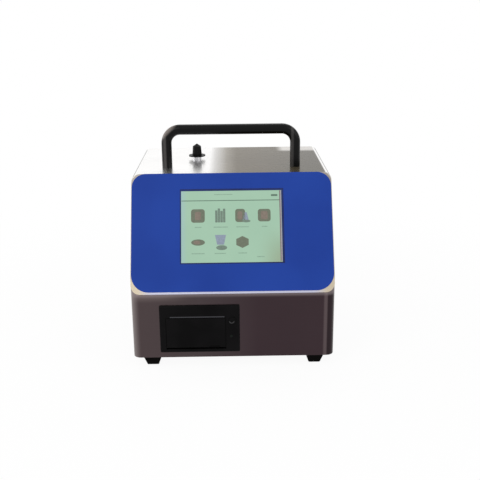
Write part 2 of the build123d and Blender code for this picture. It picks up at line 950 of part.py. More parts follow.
pump_ports_back = pump_plate_back - pump_head_depth / 2
pump_in = Plane(
    origin=(
        pump_x - pump_port_spacing / 2,
        front_y + pump_plate_back - pump_head_depth,
        foot_height + pump_axis_height + pump_head_height / 4,
    ),
    x_dir=(1, 0, 0),
    z_dir=(0, -1, 0),
)
pump_out = Plane(
    origin=(
        pump_x,
        front_y + pump_ports_back,
        foot_height + pump_plate_top,
    )
)
with BuildPart() as pump_head:
    with BuildSketch(pump_plate):
        with Locations((0, pump_axis_height)):
            Rectangle(pump_head_width, pump_head_height)
    extrude(amount=pump_head_depth)
    chamfer(pump_head.edges().filter_by(Axis.Y), 3)
    for seam in (1, 2):
        with BuildSketch(pump_plate.offset(seam * pump_head_depth / 3)):
            with Locations((0, pump_axis_height)):
                Rectangle(pump_head_width, pump_head_height)
                Rectangle(pump_head_width - 2, pump_head_height - 2, mode=Mode.SUBTRACT)
        extrude(amount=1, mode=Mode.SUBTRACT)
    for port in (pump_in, pump_out):
        with BuildSketch(section(port)):
            with BuildLine():
                Polyline(*barb_profile(barb_bore), close=True)
            make_face()
        revolve(axis=axis_of(port))
finish(pump_head, "pump_head")

exhaust = Plane(
    origin=(pump_x, rear_y, foot_height + exhaust_height), x_dir=(-1, 0, 0), z_dir=(0, 1, 0)
)
exhaust_inner = -panel_wall - exhaust_thread_length
with BuildPart() as exhaust_port:
    with BuildSketch(section(exhaust)):
        with BuildLine():
            Polyline(
                (exhaust_bore_radius, exhaust_inner - barb_length),
                (barb_radius, exhaust_inner - barb_length),
                (barb_radius, exhaust_inner),
                (exhaust_thread_radius, exhaust_inner),
                (exhaust_thread_radius, 0),
                (exhaust_flange_radius, 0),
                (exhaust_flange_radius, exhaust_flange_height),
                (exhaust_barb_radius, exhaust_flange_height),
                (exhaust_barb_radius, exhaust_reach),
                (exhaust_bore_radius, exhaust_reach),
                close=True,
            )
        make_face()
    revolve(axis=axis_of(exhaust))
finish(exhaust_port, "exhaust_port")


def hose_path_start(point, direction):
    """Plane across the first run of a hose."""
    return Plane(origin=point, z_dir=direction)


sensor_hose_start = sensor_right.offset(hose_start).origin
sensor_hose_end = filter_top.offset(hose_start).origin
sensor_hose_points = [
    sensor_hose_start,
    (filter_x, sensor_hose_start.Y, sensor_hose_start.Z),
    (filter_x, sensor_hose_end.Y, sensor_hose_start.Z),
    sensor_hose_end,
]
pump_hose_start = filter_side.offset(hose_start).origin
pump_hose_end = pump_in.offset(hose_start).origin
hose_turn_y = front_y + pump_hose_front
pump_hose_points = [
    pump_hose_start,
    (filter_x, hose_turn_y, pump_hose_start.Z),
    (pump_hose_end.X, hose_turn_y, pump_hose_end.Z),
    pump_hose_end,
]
exhaust_hose_start = pump_out.offset(hose_start).origin
exhaust_hose_end = exhaust.offset(exhaust_inner).origin
exhaust_hose_points = [
    exhaust_hose_start,
    (pump_x, exhaust_hose_start.Y, exhaust_hose_end.Z),
    exhaust_hose_end,
]
hose_routes = [
    ("sensor_hose", sensor_hose_points, (1, 0, 0)),
    ("pump_hose", pump_hose_points, (0, -1, 0)),
    ("exhaust_hose", exhaust_hose_points, (0, 0, 1)),
]
for hose_name, hose_points, hose_heading in hose_routes:
    with BuildPart() as hose:
        with BuildLine():
            FilletPolyline(*hose_points, radius=hose_bend)
        with BuildSketch(hose_path_start(hose_points[0], hose_heading)):
            Circle(hose_radius)
            Circle(barb_radius + running_gap, mode=Mode.SUBTRACT)
        sweep()
    finish(hose, hose_name)

# ---------------------------------------------------------------- electronics

board_face = Plane(
    origin=(inner_half_width - standoff_length, front_y, foot_height),
    x_dir=(0, 1, 0),
    z_dir=(1, 0, 0),
)
with BuildPart() as board_standoffs:
    with BuildSketch(board_face):
        with Locations(*board_points):
            Circle(standoff_radius)
    extrude(amount=standoff_length)
finish(board_standoffs, "board_standoffs")

component_face = board_face.offset(-board_wall)
board_mid = (board_back + board_length / 2, board_low_edge + board_height / 2)
with BuildPart() as main_board:
    with BuildSketch(board_face):
        with Locations(board_mid):
            Rectangle(board_length, board_height)
    extrude(amount=-board_wall)
    # Processor and memory
    with BuildSketch(component_face):
        with Locations(board_mid):
            Rectangle(processor_side, processor_side)
        with Locations((board_mid[0] + memory_offset, board_mid[1])):
            Rectangle(memory_width, memory_length)
    extrude(amount=-chip_height)
    # Plugs along the lower edge
    with BuildSketch(component_face):
        with Locations((board_mid[0], board_mid[1] - plug_drop)):
            with GridLocations(plug_pitch, 0, 4, 1):
                Rectangle(plug_width, plug_depth)
    extrude(amount=-plug_height)
    # Capacitors
    with BuildSketch(component_face):
        with Locations((board_mid[0] - plug_drop, board_mid[1] + plug_pitch)):
            with GridLocations(capacitor_pitch, capacitor_pitch, 2, 2):
                RegularPolygon(capacitor_radius, 8)
    extrude(amount=-capacitor_height)
finish(main_board, "main_board")

supply_back = case_depth - supply_rear_gap - supply_length
with BuildPart() as power_supply:
    with BuildSketch(floor_top):
        with Locations((supply_x, supply_back)):
            Rectangle(supply_width, supply_length, align=(Align.CENTER, Align.MIN))
    extrude(amount=supply_height)
    chamfer(power_supply.faces().sort_by(Axis.Z)[-1].edges(), 1.2)
    with BuildSketch(floor_top.offset(supply_height)):
        with Locations((supply_x, supply_back + supply_length / 2)):
            with GridLocations(0, 8, 1, 9):
                SlotOverall(supply_width * 0.7, 3)
    extrude(amount=-1, mode=Mode.SUBTRACT)
finish(power_supply, "power_supply")

# ---------------------------------------------------------------- panel printer
# Its own plane: origin at the centre of its face, on the case's front wall.

printer = Plane(
    origin=(printer_x, front_y, foot_height + printer_height_centre),
    x_dir=(1, 0, 0),
    z_dir=(0, -1, 0),
)
bay_low = -printer_body_height / 2 + printer_wall
bay_high = printer_body_height / 2 - printer_wall
door_low = bay_low + door_gap
hinge_height = door_low + knuckle_radius
hinge_back = knuckle_radius - printer_lip
hinge_line = Plane(
    origin=(
        printer_x,
        front_y + hinge_back,
        foot_height + printer_height_centre + hinge_height,
    ),
    x_dir=(0, 1, 0),
    z_dir=(1, 0, 0),
)
printer_side = Plane(
    origin=(printer_x, front_y, foot_height + printer_height_centre),
    x_dir=(0, 1, 0),
    z_dir=(1, 0, 0),
)
bay_left = door_left - door_gap
bay_right = door_right + door_gap
bay_depth = printer_body_depth - printer_wall
slot_top = door_top + slot_height
door_opening_low = door_low - door_gap
roll_height = bay_low + trough_wall + roll_radius
platen_height = door_top - platen_drop
bay_centre = (bay_left + bay_right) / 2
column_left = bay_right + printer_wall
column_right = printer_body_width / 2 - printer_wall

with BuildPart() as printer_frame:
    # Face
    with BuildSketch(printer):
        RectangleRounded(printer_width, printer_height, 1.5)
    extrude(amount=printer_lip)
    chamfer(printer_frame.faces().sort_by(Axis.Y)[0].edges(), printer_lip_edge)
    # Body behind the case wall
    with BuildSketch(printer):
        Rectangle(printer_body_width, printer_body_height)
    extrude(amount=-printer_body_depth)
    # Paper bay
    with BuildSketch(printer):
        with Locations((bay_left, bay_low)):
            Rectangle(
                bay_right - bay_left, bay_high - bay_low, align=(Align.MIN, Align.MIN)
            )
    extrude(amount=-bay_depth, mode=Mode.SUBTRACT)
    # Space behind the button column
    with BuildSketch(printer):
        with Locations((column_left, bay_low)):
            Rectangle(
                column_right - column_left, bay_high - bay_low, align=(Align.MIN, Align.MIN)
            )
    extrude(amount=-bay_depth, mode=Mode.SUBTRACT)
    # Door opening and paper slot
    with BuildSketch(printer):
        with Locations((bay_left, door_opening_low)):
            Rectangle(
                bay_right - bay_left,
                door_top + door_gap - door_opening_low,
                align=(Align.MIN, Align.MIN),
            )
        with Locations((slot_left, door_top)):
            Rectangle(slot_right - slot_left, slot_height, align=(Align.MIN, Align.MIN))
    extrude(amount=printer_lip, mode=Mode.SUBTRACT)
    # Trough that the roll rests in
    with BuildSketch(printer_side.offset(bay_left)):
        with Locations((roll_back, bay_low)):
            Rectangle(2 * roll_radius, roll_radius * 0.8, align=(Align.CENTER, Align.MIN))
        with Locations((roll_back, roll_height)):
            Circle(roll_radius, mode=Mode.SUBTRACT)
    extrude(amount=bay_right - bay_left)
    # Button and lamp holes
    with BuildSketch(printer):
        with Locations((button_x, button_height)):
            Circle(button_radius + fit_gap / 2)
        with Locations((lens_x, lens_height)):
            Circle(lens_radius + running_gap)
    extrude(amount=printer_lip, mode=Mode.SUBTRACT)
    # Sockets for the door's hinge pins
    with BuildSketch(hinge_line.offset(bay_left - running_gap - hinge_pin_length)):
        Circle(hinge_pin_radius + running_gap)
    extrude(amount=bay_right - bay_left + 2 * (running_gap + hinge_pin_length), mode=Mode.SUBTRACT)
finish(printer_frame, "printer_frame")

# Door, hinged at its foot, with the platen between its cheeks
platen_centre = (platen_back, platen_height)
cheek_radius = platen_radius * 0.8
with BuildPart() as printer_door:
    # Panel with its round knuckle
    with BuildSketch(printer_side.offset(door_left)):
        with Locations((hinge_back, hinge_height)):
            Circle(knuckle_radius)
        with Locations((-printer_lip, hinge_height)):
            Rectangle(door_wall, door_top - hinge_height, align=(Align.MIN, Align.MIN))
    extrude(amount=door_right - door_left)
    # Cheeks that hold the platen's shaft
    for cheek_x in (door_left, door_right - cheek_wall):
        with BuildSketch(printer_side.offset(cheek_x)):
            with BuildLine():
                Polyline(
                    (-printer_lip + door_wall, platen_height + cheek_radius),
                    (platen_back, platen_height + cheek_radius),
                    (platen_back, platen_height - cheek_radius),
                    (-printer_lip + door_wall, platen_height - 3 * cheek_radius),
                    close=True,
                )
            make_face()
            with Locations(platen_centre):
                Circle(cheek_radius)
        extrude(amount=cheek_wall)
    with BuildSketch(printer_side.offset(door_left)):
        with Locations(platen_centre):
            Circle(platen_shaft_radius + running_gap)
    extrude(amount=door_right - door_left, mode=Mode.SUBTRACT)
    # Hinge pins
    with BuildSketch(hinge_line.offset(door_left - door_gap - hinge_pin_length)):
        Circle(hinge_pin_radius)
    extrude(amount=door_right - door_left + 2 * (door_gap + hinge_pin_length))
    # Finger groove
    with BuildSketch(printer.offset(printer_lip)):
        with Locations((door_right - grip_width, hinge_height)):
            SlotOverall(grip_width, grip_height)
    extrude(amount=-grip_depth, mode=Mode.SUBTRACT)
finish(printer_door, "printer_door")

platen_end = cheek_wall + fit_gap
platen_length = door_right - door_left - 2 * platen_end
with BuildPart() as platen_roller:
    with BuildSketch(printer_side.offset(door_left + platen_end)):
        with Locations(platen_centre):
            Circle(platen_radius)
            Circle(platen_shaft_radius, mode=Mode.SUBTRACT)
    extrude(amount=platen_length)
finish(platen_roller, "platen_roller")

with BuildPart() as platen_shaft:
    with BuildSketch(printer_side.offset(door_left + fit_gap)):
        with Locations(platen_centre):
            Circle(platen_shaft_radius)
    extrude(amount=door_right - door_left - 2 * fit_gap)
finish(platen_shaft, "platen_shaft")

head_front = platen_back + platen_radius + paper_gap
head_low = platen_height - platen_radius - 1
with BuildPart() as print_head:
    with BuildSketch(printer_side.offset(bay_centre - head_width / 2)):
        with Locations((head_front, head_low)):
            Rectangle(head_wall, bay_high - head_low, align=(Align.MIN, Align.MIN))
        with Locations((head_front, bay_high)):
            Rectangle(3 * head_wall, head_wall, align=(Align.MIN, Align.MAX))
    extrude(amount=head_width)
finish(print_head, "print_head")

tear_width = slot_right - slot_left
tear_teeth = int(tear_width / tear_tooth_pitch)
tooth_root = slot_top - tear_lip_height + tear_tooth_depth
with BuildPart() as tear_bar:
    # Blade under the slot's upper edge
    with BuildSketch(printer_side.offset(slot_left)):
        with Locations((-printer_lip, slot_top)):
            Rectangle(head_front + printer_lip, tear_bar_wall, align=(Align.MIN, Align.MAX))
    extrude(amount=tear_width)
    # Toothed lip across the slot's mouth
    with BuildSketch(printer.offset(printer_lip)):
        with BuildLine():
            Polyline(
                (slot_left, slot_top),
                *[
                    (
                        slot_left + tear_width * step / (2 * tear_teeth),
                        tooth_root - tear_tooth_depth * (step % 2),
                    )
                    for step in range(2 * tear_teeth + 1)
                ],
                (slot_right, slot_top),
                close=True,
            )
        make_face()
    extrude(amount=-tear_bar_wall)
finish(tear_bar, "tear_bar")

roll_centre = (roll_back, roll_height)
with BuildPart() as paper_roll:
    with BuildSketch(printer_side.offset(bay_centre - roll_width / 2)):
        with Locations(roll_centre):
            Circle(roll_radius)
            Circle(roll_core_radius, mode=Mode.SUBTRACT)
    extrude(amount=roll_width)
finish(paper_roll, "paper_roll")

button_lip_width = column_right - column_left - 2 * fit_gap
with BuildPart() as feed_button:
    with BuildSketch(printer.offset(printer_lip + button_proud)):
        with Locations((button_x, button_height)):
            Circle(button_radius)
    extrude(amount=-(printer_lip + button_proud))
    fillet(feed_button.edges().sort_by(Axis.Y)[0], button_proud / 2)
    with BuildSketch(printer):
        with Locations(((column_left + column_right) / 2, button_height)):
            Rectangle(button_lip_width, button_lip_width)
    extrude(amount=-button_lip)
    with BuildSketch(printer.offset(-button_lip)):
        with Locations((button_x, button_height)):
            Circle(button_radius / 3)
    extrude(amount=-button_stem)
finish(feed_button, "feed_button")

with BuildPart() as status_lens:
    with BuildSketch(printer.offset(printer_lip + lens_proud)):
        with Locations((lens_x, lens_height)):
            Circle(lens_radius)
    extrude(amount=-(printer_lip + lens_proud))
    fillet(status_lens.edges().sort_by(Axis.Y)[0], lens_proud)
    with BuildSketch(printer):
        with Locations((lens_x, lens_height)):
            Circle(lens_radius + 0.8)
    extrude(amount=-1)
finish(status_lens, "status_lens")

switch_gap = button_travel + fit_gap
control_board_front = button_lip + button_stem + switch_gap
key_height = 2.0
with BuildPart() as printer_board:
    with BuildSketch(printer.offset(-control_board_front - key_height)):
        with Locations(((column_left + column_right) / 2, 0)):
            Rectangle(column_right - column_left, control_board_height)
    extrude(amount=-control_board_wall)
    with BuildSketch(printer.offset(-control_board_front - key_height)):
        with Locations((button_x, button_height)):
            Rectangle(6, 6)
    extrude(amount=key_height)
    with BuildSketch(printer.offset(-control_board_front - key_height)):
        with Locations((lens_x, lens_height)):
            Circle(lens_radius)
    extrude(amount=control_board_front + key_height - 1)
finish(printer_board, "printer_board")

# ---------------------------------------------------------------- cooling fan

fan = Plane(
    origin=(-fan_x, rear_y - panel_wall, foot_height + fan_height),
    x_dir=(-1, 0, 0),
    z_dir=(0, 1, 0),
)
fan_corner_points = [
    (x * fan_screw_spacing / 2, y * fan_screw_spacing / 2) for x in (-1, 1) for y in (-1, 1)
]
strut_wall = 3.0
with BuildPart() as fan_frame:
    with BuildSketch(fan):
        RectangleRounded(fan_size, fan_size, 3)
        Circle(fan_bore_radius, mode=Mode.SUBTRACT)
        with Locations(*fan_corner_points):
            Circle(small_screw_radius + running_gap, mode=Mode.SUBTRACT)
    extrude(amount=-fan_depth)
    # Motor seat on four arms, at the inner side
    with BuildSketch(fan.offset(-fan_depth)):
        Circle(fan_hub_radius)
        with PolarLocations(0, 4, start_angle=45):
            Rectangle(fan_bore_radius + 0.5, strut_wall, align=(Align.MIN, Align.CENTER))
    extrude(amount=strut_wall)
    with BuildSketch(fan.offset(-fan_depth)):
        Circle(fan_shaft_radius + running_gap)
    extrude(amount=strut_wall, mode=Mode.SUBTRACT)
finish(fan_frame, "fan_frame")

blade_front = -1.5
blade_back = -fan_depth + strut_wall + 0.5
blade_span = blade_front - blade_back
blade_mid = fan.offset((blade_front + blade_back) / 2)
blade_tip = fan_bore_radius - fan_tip_gap


def blade_section(radius):
    """Plane across a blade at one radius: local x runs round the fan, y along its axis."""
    return Plane(
        origin=blade_mid.origin + blade_mid.x_dir * radius,
        x_dir=blade_mid.y_dir,
        z_dir=blade_mid.x_dir,
    )


with BuildPart() as fan_blade:
    with BuildSketch(blade_section(fan_hub_radius - 1)):
        Rectangle(fan_root_chord, fan_blade_wall, rotation=fan_root_pitch)
    with BuildSketch(blade_section(fan_bore_radius)):
        Rectangle(fan_tip_chord, fan_blade_wall, rotation=fan_tip_pitch)
    loft()
    with BuildSketch(fan.offset(blade_front - fan_blade_edge)):
        Circle(blade_tip)
    extrude(amount=2 * fan_blade_edge - blade_span, mode=Mode.INTERSECT)

with BuildPart() as fan_impeller:
    with BuildSketch(fan.offset(blade_front)):
        Circle(fan_hub_radius)
    extrude(amount=-blade_span)
    fillet(fan_impeller.edges().sort_by(Axis.Y)[-1], 1.5)
    with BuildSketch(fan.offset(blade_back)):
        Circle(fan_shaft_radius)
    extrude(amount=-(strut_wall + 0.5))
    for blade_number in range(fan_blades):
        add(fan_blade.part.rotate(axis_of(fan), blade_number * 360 / fan_blades))
finish(fan_impeller, "fan_impeller")

ear_radius = 4.0
fan_outside = Plane(
    origin=(-fan_x, rear_y, foot_height + fan_height), x_dir=(-1, 0, 0), z_dir=(0, 1, 0)
)
corner_reach = fan_screw_spacing / 2 * 2**0.5
with BuildPart() as fan_guard:
    for ring in guard_rings:
        with BuildSketch(fan_outside):
            Circle(ring + guard_wire / 2)
            Circle(ring - guard_wire / 2, mode=Mode.SUBTRACT)
        extrude(amount=guard_wire)
    with BuildSketch(fan_outside):
        with PolarLocations(0, 4, start_angle=45):
            with Locations((guard_rings[0], 0)):
                Rectangle(
                    corner_reach - guard_rings[0], guard_wire, align=(Align.MIN, Align.CENTER)
                )
        with Locations(*fan_corner_points):
            Circle(ear_radius)
            Circle(small_screw_radius + running_gap, mode=Mode.SUBTRACT)
    extrude(amount=guard_wire)
finish(fan_guard, "fan_guard")


def pan_screws(points, plane, length, name):
    """A group of pan-head screws whose heads stand on a plane and face outwards."""
    with BuildPart() as screws:
        with BuildSketch(plane):
            with Locations(*points):
                Circle(small_head_radius)
        extrude(amount=small_head_height)
        fillet(
            screws.faces().sort_by(axis_of(plane))[-len(points):].edges(),
            small_head_height / 3,
        )
        with BuildSketch(plane.offset(small_head_height)):
            with Locations(*points):
                Rectangle(small_head_radius * 1.2, 0.7)
                Rectangle(0.7, small_head_radius * 1.2)
        extrude(amount=-small_head_height / 2, mode=Mode.SUBTRACT)
        with BuildSketch(plane):
            with Locations(*points):
                Circle(small_screw_radius)
        extrude(amount=-length)
    finish(screws, name)


pan_screws(rear_screw_points, rear, small_screw_length, "rear_screws")
under_base = Plane(
    origin=(0, front_y, foot_height), x_dir=(1, 0, 0), z_dir=(0, 0, -1)
)
pan_screws([(x, -y) for x, y in base_screw_points], under_base, small_screw_length, "base_screws")
pan_screws(
    fan_screw_points,
    rear.offset(guard_wire),
    guard_wire + panel_wall + fan_depth,
    "fan_screws",
)

# ---------------------------------------------------------------- power inlet

power = Plane(
    origin=(-power_x, rear_y, foot_height + power_height), x_dir=(-1, 0, 0), z_dir=(0, 1, 0)
)
socket_outer_width = socket_width + 2 * socket_wall
socket_outer_height = socket_height + 2 * socket_wall
with BuildPart() as power_inlet:
    with BuildSketch(power):
        RectangleRounded(socket_flange_width, socket_flange_height, 4)
        with GridLocations(socket_screw_spacing, 0, 2, 1):
            Circle(small_screw_radius + fit_gap, mode=Mode.SUBTRACT)
    extrude(amount=socket_flange_wall)
    with BuildSketch(power):
        Rectangle(socket_outer_width, socket_outer_height)
    extrude(amount=-(socket_depth + socket_wall - socket_flange_wall))
    with BuildSketch(power.offset(socket_flange_wall)) as socket_sketch:
        Rectangle(socket_width, socket_height)
        chamfer(socket_sketch.vertices().group_by(Axis.Y)[-1], socket_corner)
    extrude(amount=-socket_depth, mode=Mode.SUBTRACT)
finish(power_inlet, "power_inlet")

with BuildPart() as inlet_pins:
    with BuildSketch(power.offset(socket_flange_wall - socket_depth)):
        with GridLocations(pin_spacing, 0, 2, 1):
            Rectangle(pin_width, pin_height)
        with Locations((0, earth_pin_rise)):
            Rectangle(pin_width, pin_height)
    extrude(amount=pin_length)
finish(inlet_pins, "inlet_pins")
pan_screws(
    [(x, 0) for x in (-socket_screw_spacing / 2, socket_screw_spacing / 2)],
    power.offset(socket_flange_wall),
    socket_flange_wall,
    "inlet_screws",
)

# ---------------------------------------------------------------- power switch

switch = Plane(
    origin=(-power_x, rear_y, foot_height + switch_height), x_dir=(-1, 0, 0), z_dir=(0, 1, 0)
)
rocker_plane = Plane(
    origin=(-power_x, rear_y, foot_height + switch_height), x_dir=(0, 1, 0), z_dir=(1, 0, 0)
)
rocker_pit = rocker_radius + rocker_gap
pit_half_width = rocker_width / 2 + rocker_gap
with BuildPart() as switch_housing:
    with BuildSketch(switch):
        RectangleRounded(switch_width, switch_length, 1)
    extrude(amount=switch_flange_wall)
    chamfer(switch_housing.faces().sort_by(Axis.Y)[-1].edges(), 0.6)
    with BuildSketch(switch):
        Rectangle(switch_width - 2, switch_length - 2)
    extrude(amount=-switch_body_depth)
    with BuildSketch(rocker_plane):
        Circle(rocker_pit)
    extrude(amount=pit_half_width, both=True, mode=Mode.SUBTRACT)
    with BuildSketch(rocker_plane):
        Circle(hinge_pin_radius + running_gap)
    extrude(amount=pit_half_width + rocker_pin_length, both=True, mode=Mode.SUBTRACT)
finish(switch_housing, "switch_housing")

half_throw = rocker_throw / 2
rocker_rim = rocker_crown + rocker_radius * tan(radians(half_throw))
half_tilt = radians(half_throw)
rocker_rest = Plane(
    origin=rocker_plane.origin, x_dir=(0, cos(half_tilt), -sin(half_tilt)), z_dir=(1, 0, 0)
)
with BuildPart() as switch_rocker:
    with BuildSketch(rocker_rest):
        Circle(rocker_radius)
        with BuildLine():
            Polyline(
                (rocker_crown, 0),
                (rocker_rim, rocker_radius),
                (-rocker_radius, rocker_radius),
                (-rocker_radius, -rocker_radius),
                (rocker_rim, -rocker_radius),
                close=True,
            )
        make_face(mode=Mode.INTERSECT)
    extrude(amount=rocker_width / 2, both=True)
    with BuildSketch(rocker_plane):
        Circle(hinge_pin_radius)
    extrude(amount=pit_half_width + rocker_pin_length - running_gap, both=True)
finish(switch_rocker, "switch_rocker")

# ---------------------------------------------------------------- serial port

serial = Plane(
    origin=(-serial_x, rear_y, foot_height + serial_height), x_dir=(-1, 0, 0), z_dir=(0, 1, 0)
)
with BuildPart() as serial_port:
    with BuildSketch(serial):
        RectangleRounded(serial_flange_width, serial_flange_height, 1)
    extrude(amount=0.8)
    with BuildSketch(serial) as shell_sketch:
        Trapezoid(serial_shell_width, serial_shell_height, 80, rotation=180)
        fillet(shell_sketch.vertices(), 1.6)
    extrude(amount=serial_shell_reach)
    with BuildSketch(serial):
        with GridLocations(serial_flange_width - 6, 0, 2, 1):
            RegularPolygon(2.8, 6)
            Circle(1.3, mode=Mode.SUBTRACT)
    extrude(amount=serial_shell_reach)
    with BuildSketch(serial.offset(serial_shell_reach)):
        for row, holes in ((-1, 5), (1, 4)):
            with Locations((0, -row * serial_row_pitch / 2)):
                with GridLocations(serial_pitch, 0, holes, 1):
                    Circle(serial_hole_radius)
    extrude(amount=-serial_shell_reach, mode=Mode.SUBTRACT)
    with BuildSketch(serial):
        Rectangle(serial_shell_width, serial_shell_height)
    extrude(amount=-9)
finish(serial_port, "serial_port")

# ---------------------------------------------------------------- feet

foot_names = ["foot_front_left", "foot_front_right", "foot_rear_left", "foot_rear_right"]
for foot_name, (foot_x, foot_back) in zip(foot_names, foot_points):
    foot_plane = Plane(
        origin=(foot_x, front_y + foot_back, foot_height), x_dir=(1, 0, 0), z_dir=(0, 0, -1)
    )
    recess_floor = foot_height - foot_recess_depth
    with BuildPart() as foot:
        with BuildSketch(foot_plane):
            RectangleRounded(foot_top_side, foot_top_side, foot_corner)
        with BuildSketch(foot_plane.offset(foot_height)):
            RectangleRounded(foot_low_side, foot_low_side, foot_corner)
        loft(ruled=True)
        with BuildSketch(foot_plane):
            Circle(foot_screw_radius + running_gap)
        extrude(amount=foot_height, mode=Mode.SUBTRACT)
        with BuildSketch(foot_plane.offset(recess_floor)):
            Circle(foot_recess_radius)
        extrude(amount=foot_recess_depth, mode=Mode.SUBTRACT)
    finish(foot, foot_name)

with BuildPart() as foot_screws:
    with BuildSketch(base.offset(-recess_floor)):
        with Locations(*foot_points):
            Circle(foot_head_radius)
    extrude(amount=-foot_head_height)
    with BuildSketch(base.offset(-recess_floor)):
        with Locations(*foot_points):
            Circle(foot_screw_radius)
    extrude(amount=recess_floor + panel_wall + foot_nut_height + 1)
finish(foot_screws, "foot_screws")

with BuildPart() as foot_nuts:
    with BuildSketch(floor_top):
        with Locations(*foot_points):
            RegularPolygon(foot_screw_radius * 2, 6)
            Circle(foot_screw_radius + running_gap, mode=Mode.SUBTRACT)
    extrude(amount=foot_nut_height)
finish(foot_nuts, "foot_nuts")
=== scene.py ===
"""Dresses the airborne particle counter: finishes, screen, small marks, light and camera."""

import json
import math

import bmesh
import bpy
from bpy.props import FloatProperty, FloatVectorProperty, PointerProperty
from mathutils import Matrix, Vector


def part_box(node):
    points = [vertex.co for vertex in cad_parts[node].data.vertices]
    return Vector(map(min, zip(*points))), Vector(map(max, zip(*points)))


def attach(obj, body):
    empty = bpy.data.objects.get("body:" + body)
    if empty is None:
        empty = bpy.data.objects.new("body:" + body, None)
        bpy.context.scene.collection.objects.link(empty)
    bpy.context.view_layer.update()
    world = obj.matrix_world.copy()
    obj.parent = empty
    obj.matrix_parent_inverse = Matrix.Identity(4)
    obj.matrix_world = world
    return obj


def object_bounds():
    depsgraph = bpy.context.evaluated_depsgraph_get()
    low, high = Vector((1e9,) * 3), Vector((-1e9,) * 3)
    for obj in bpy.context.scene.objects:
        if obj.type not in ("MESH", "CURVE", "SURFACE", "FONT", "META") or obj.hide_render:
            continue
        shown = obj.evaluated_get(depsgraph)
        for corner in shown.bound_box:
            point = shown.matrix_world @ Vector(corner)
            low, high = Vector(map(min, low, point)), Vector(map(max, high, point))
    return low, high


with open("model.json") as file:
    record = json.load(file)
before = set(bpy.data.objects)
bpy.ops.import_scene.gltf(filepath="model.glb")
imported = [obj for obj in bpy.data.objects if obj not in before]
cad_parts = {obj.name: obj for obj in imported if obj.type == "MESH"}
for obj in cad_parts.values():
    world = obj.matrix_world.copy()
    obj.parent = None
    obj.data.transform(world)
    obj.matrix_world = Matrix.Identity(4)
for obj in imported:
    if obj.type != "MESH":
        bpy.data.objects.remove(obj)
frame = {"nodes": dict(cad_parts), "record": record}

bl_info = {
    "name": "Particle counter finishes",
    "version": (1, 0, 0),
    "blender": (4, 5, 0),
    "location": "View3D > Sidebar > Counter",
    "description": "Dresses a bench particle counter with its metals, film, screen and marks",
    "category": "Object",
}

CAD_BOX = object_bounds()
NODES = frame["nodes"]
MM = 0.001


def srgb(red, green, blue):
    """The linear colour of a display colour given from 0 to 255."""
    linear = []
    for channel in (red, green, blue):
        value = channel / 255
        linear.append(value / 12.92 if value <= 0.04045 else ((value + 0.055) / 1.055) ** 2.4)
    return tuple(linear)


def nodes_of(slot):
    """The frame's nodes that carry a material slot."""
    return [
        NODES[part["node"]]
        for part in frame["record"]["subparts"]
        if part["material_slot"] == slot
    ]


# ---------------------------------------------------------------- sizes and colours


def colour(name, description, default):
    """A colour setting."""
    return FloatVectorProperty(
        name=name, description=description, default=default, subtype="COLOR", size=3, min=0, max=1
    )


def length(name, description, default):
    """A length setting, in metres."""
    return FloatProperty(
        name=name, description=description, default=default, unit="LENGTH", min=0, precision=5
    )


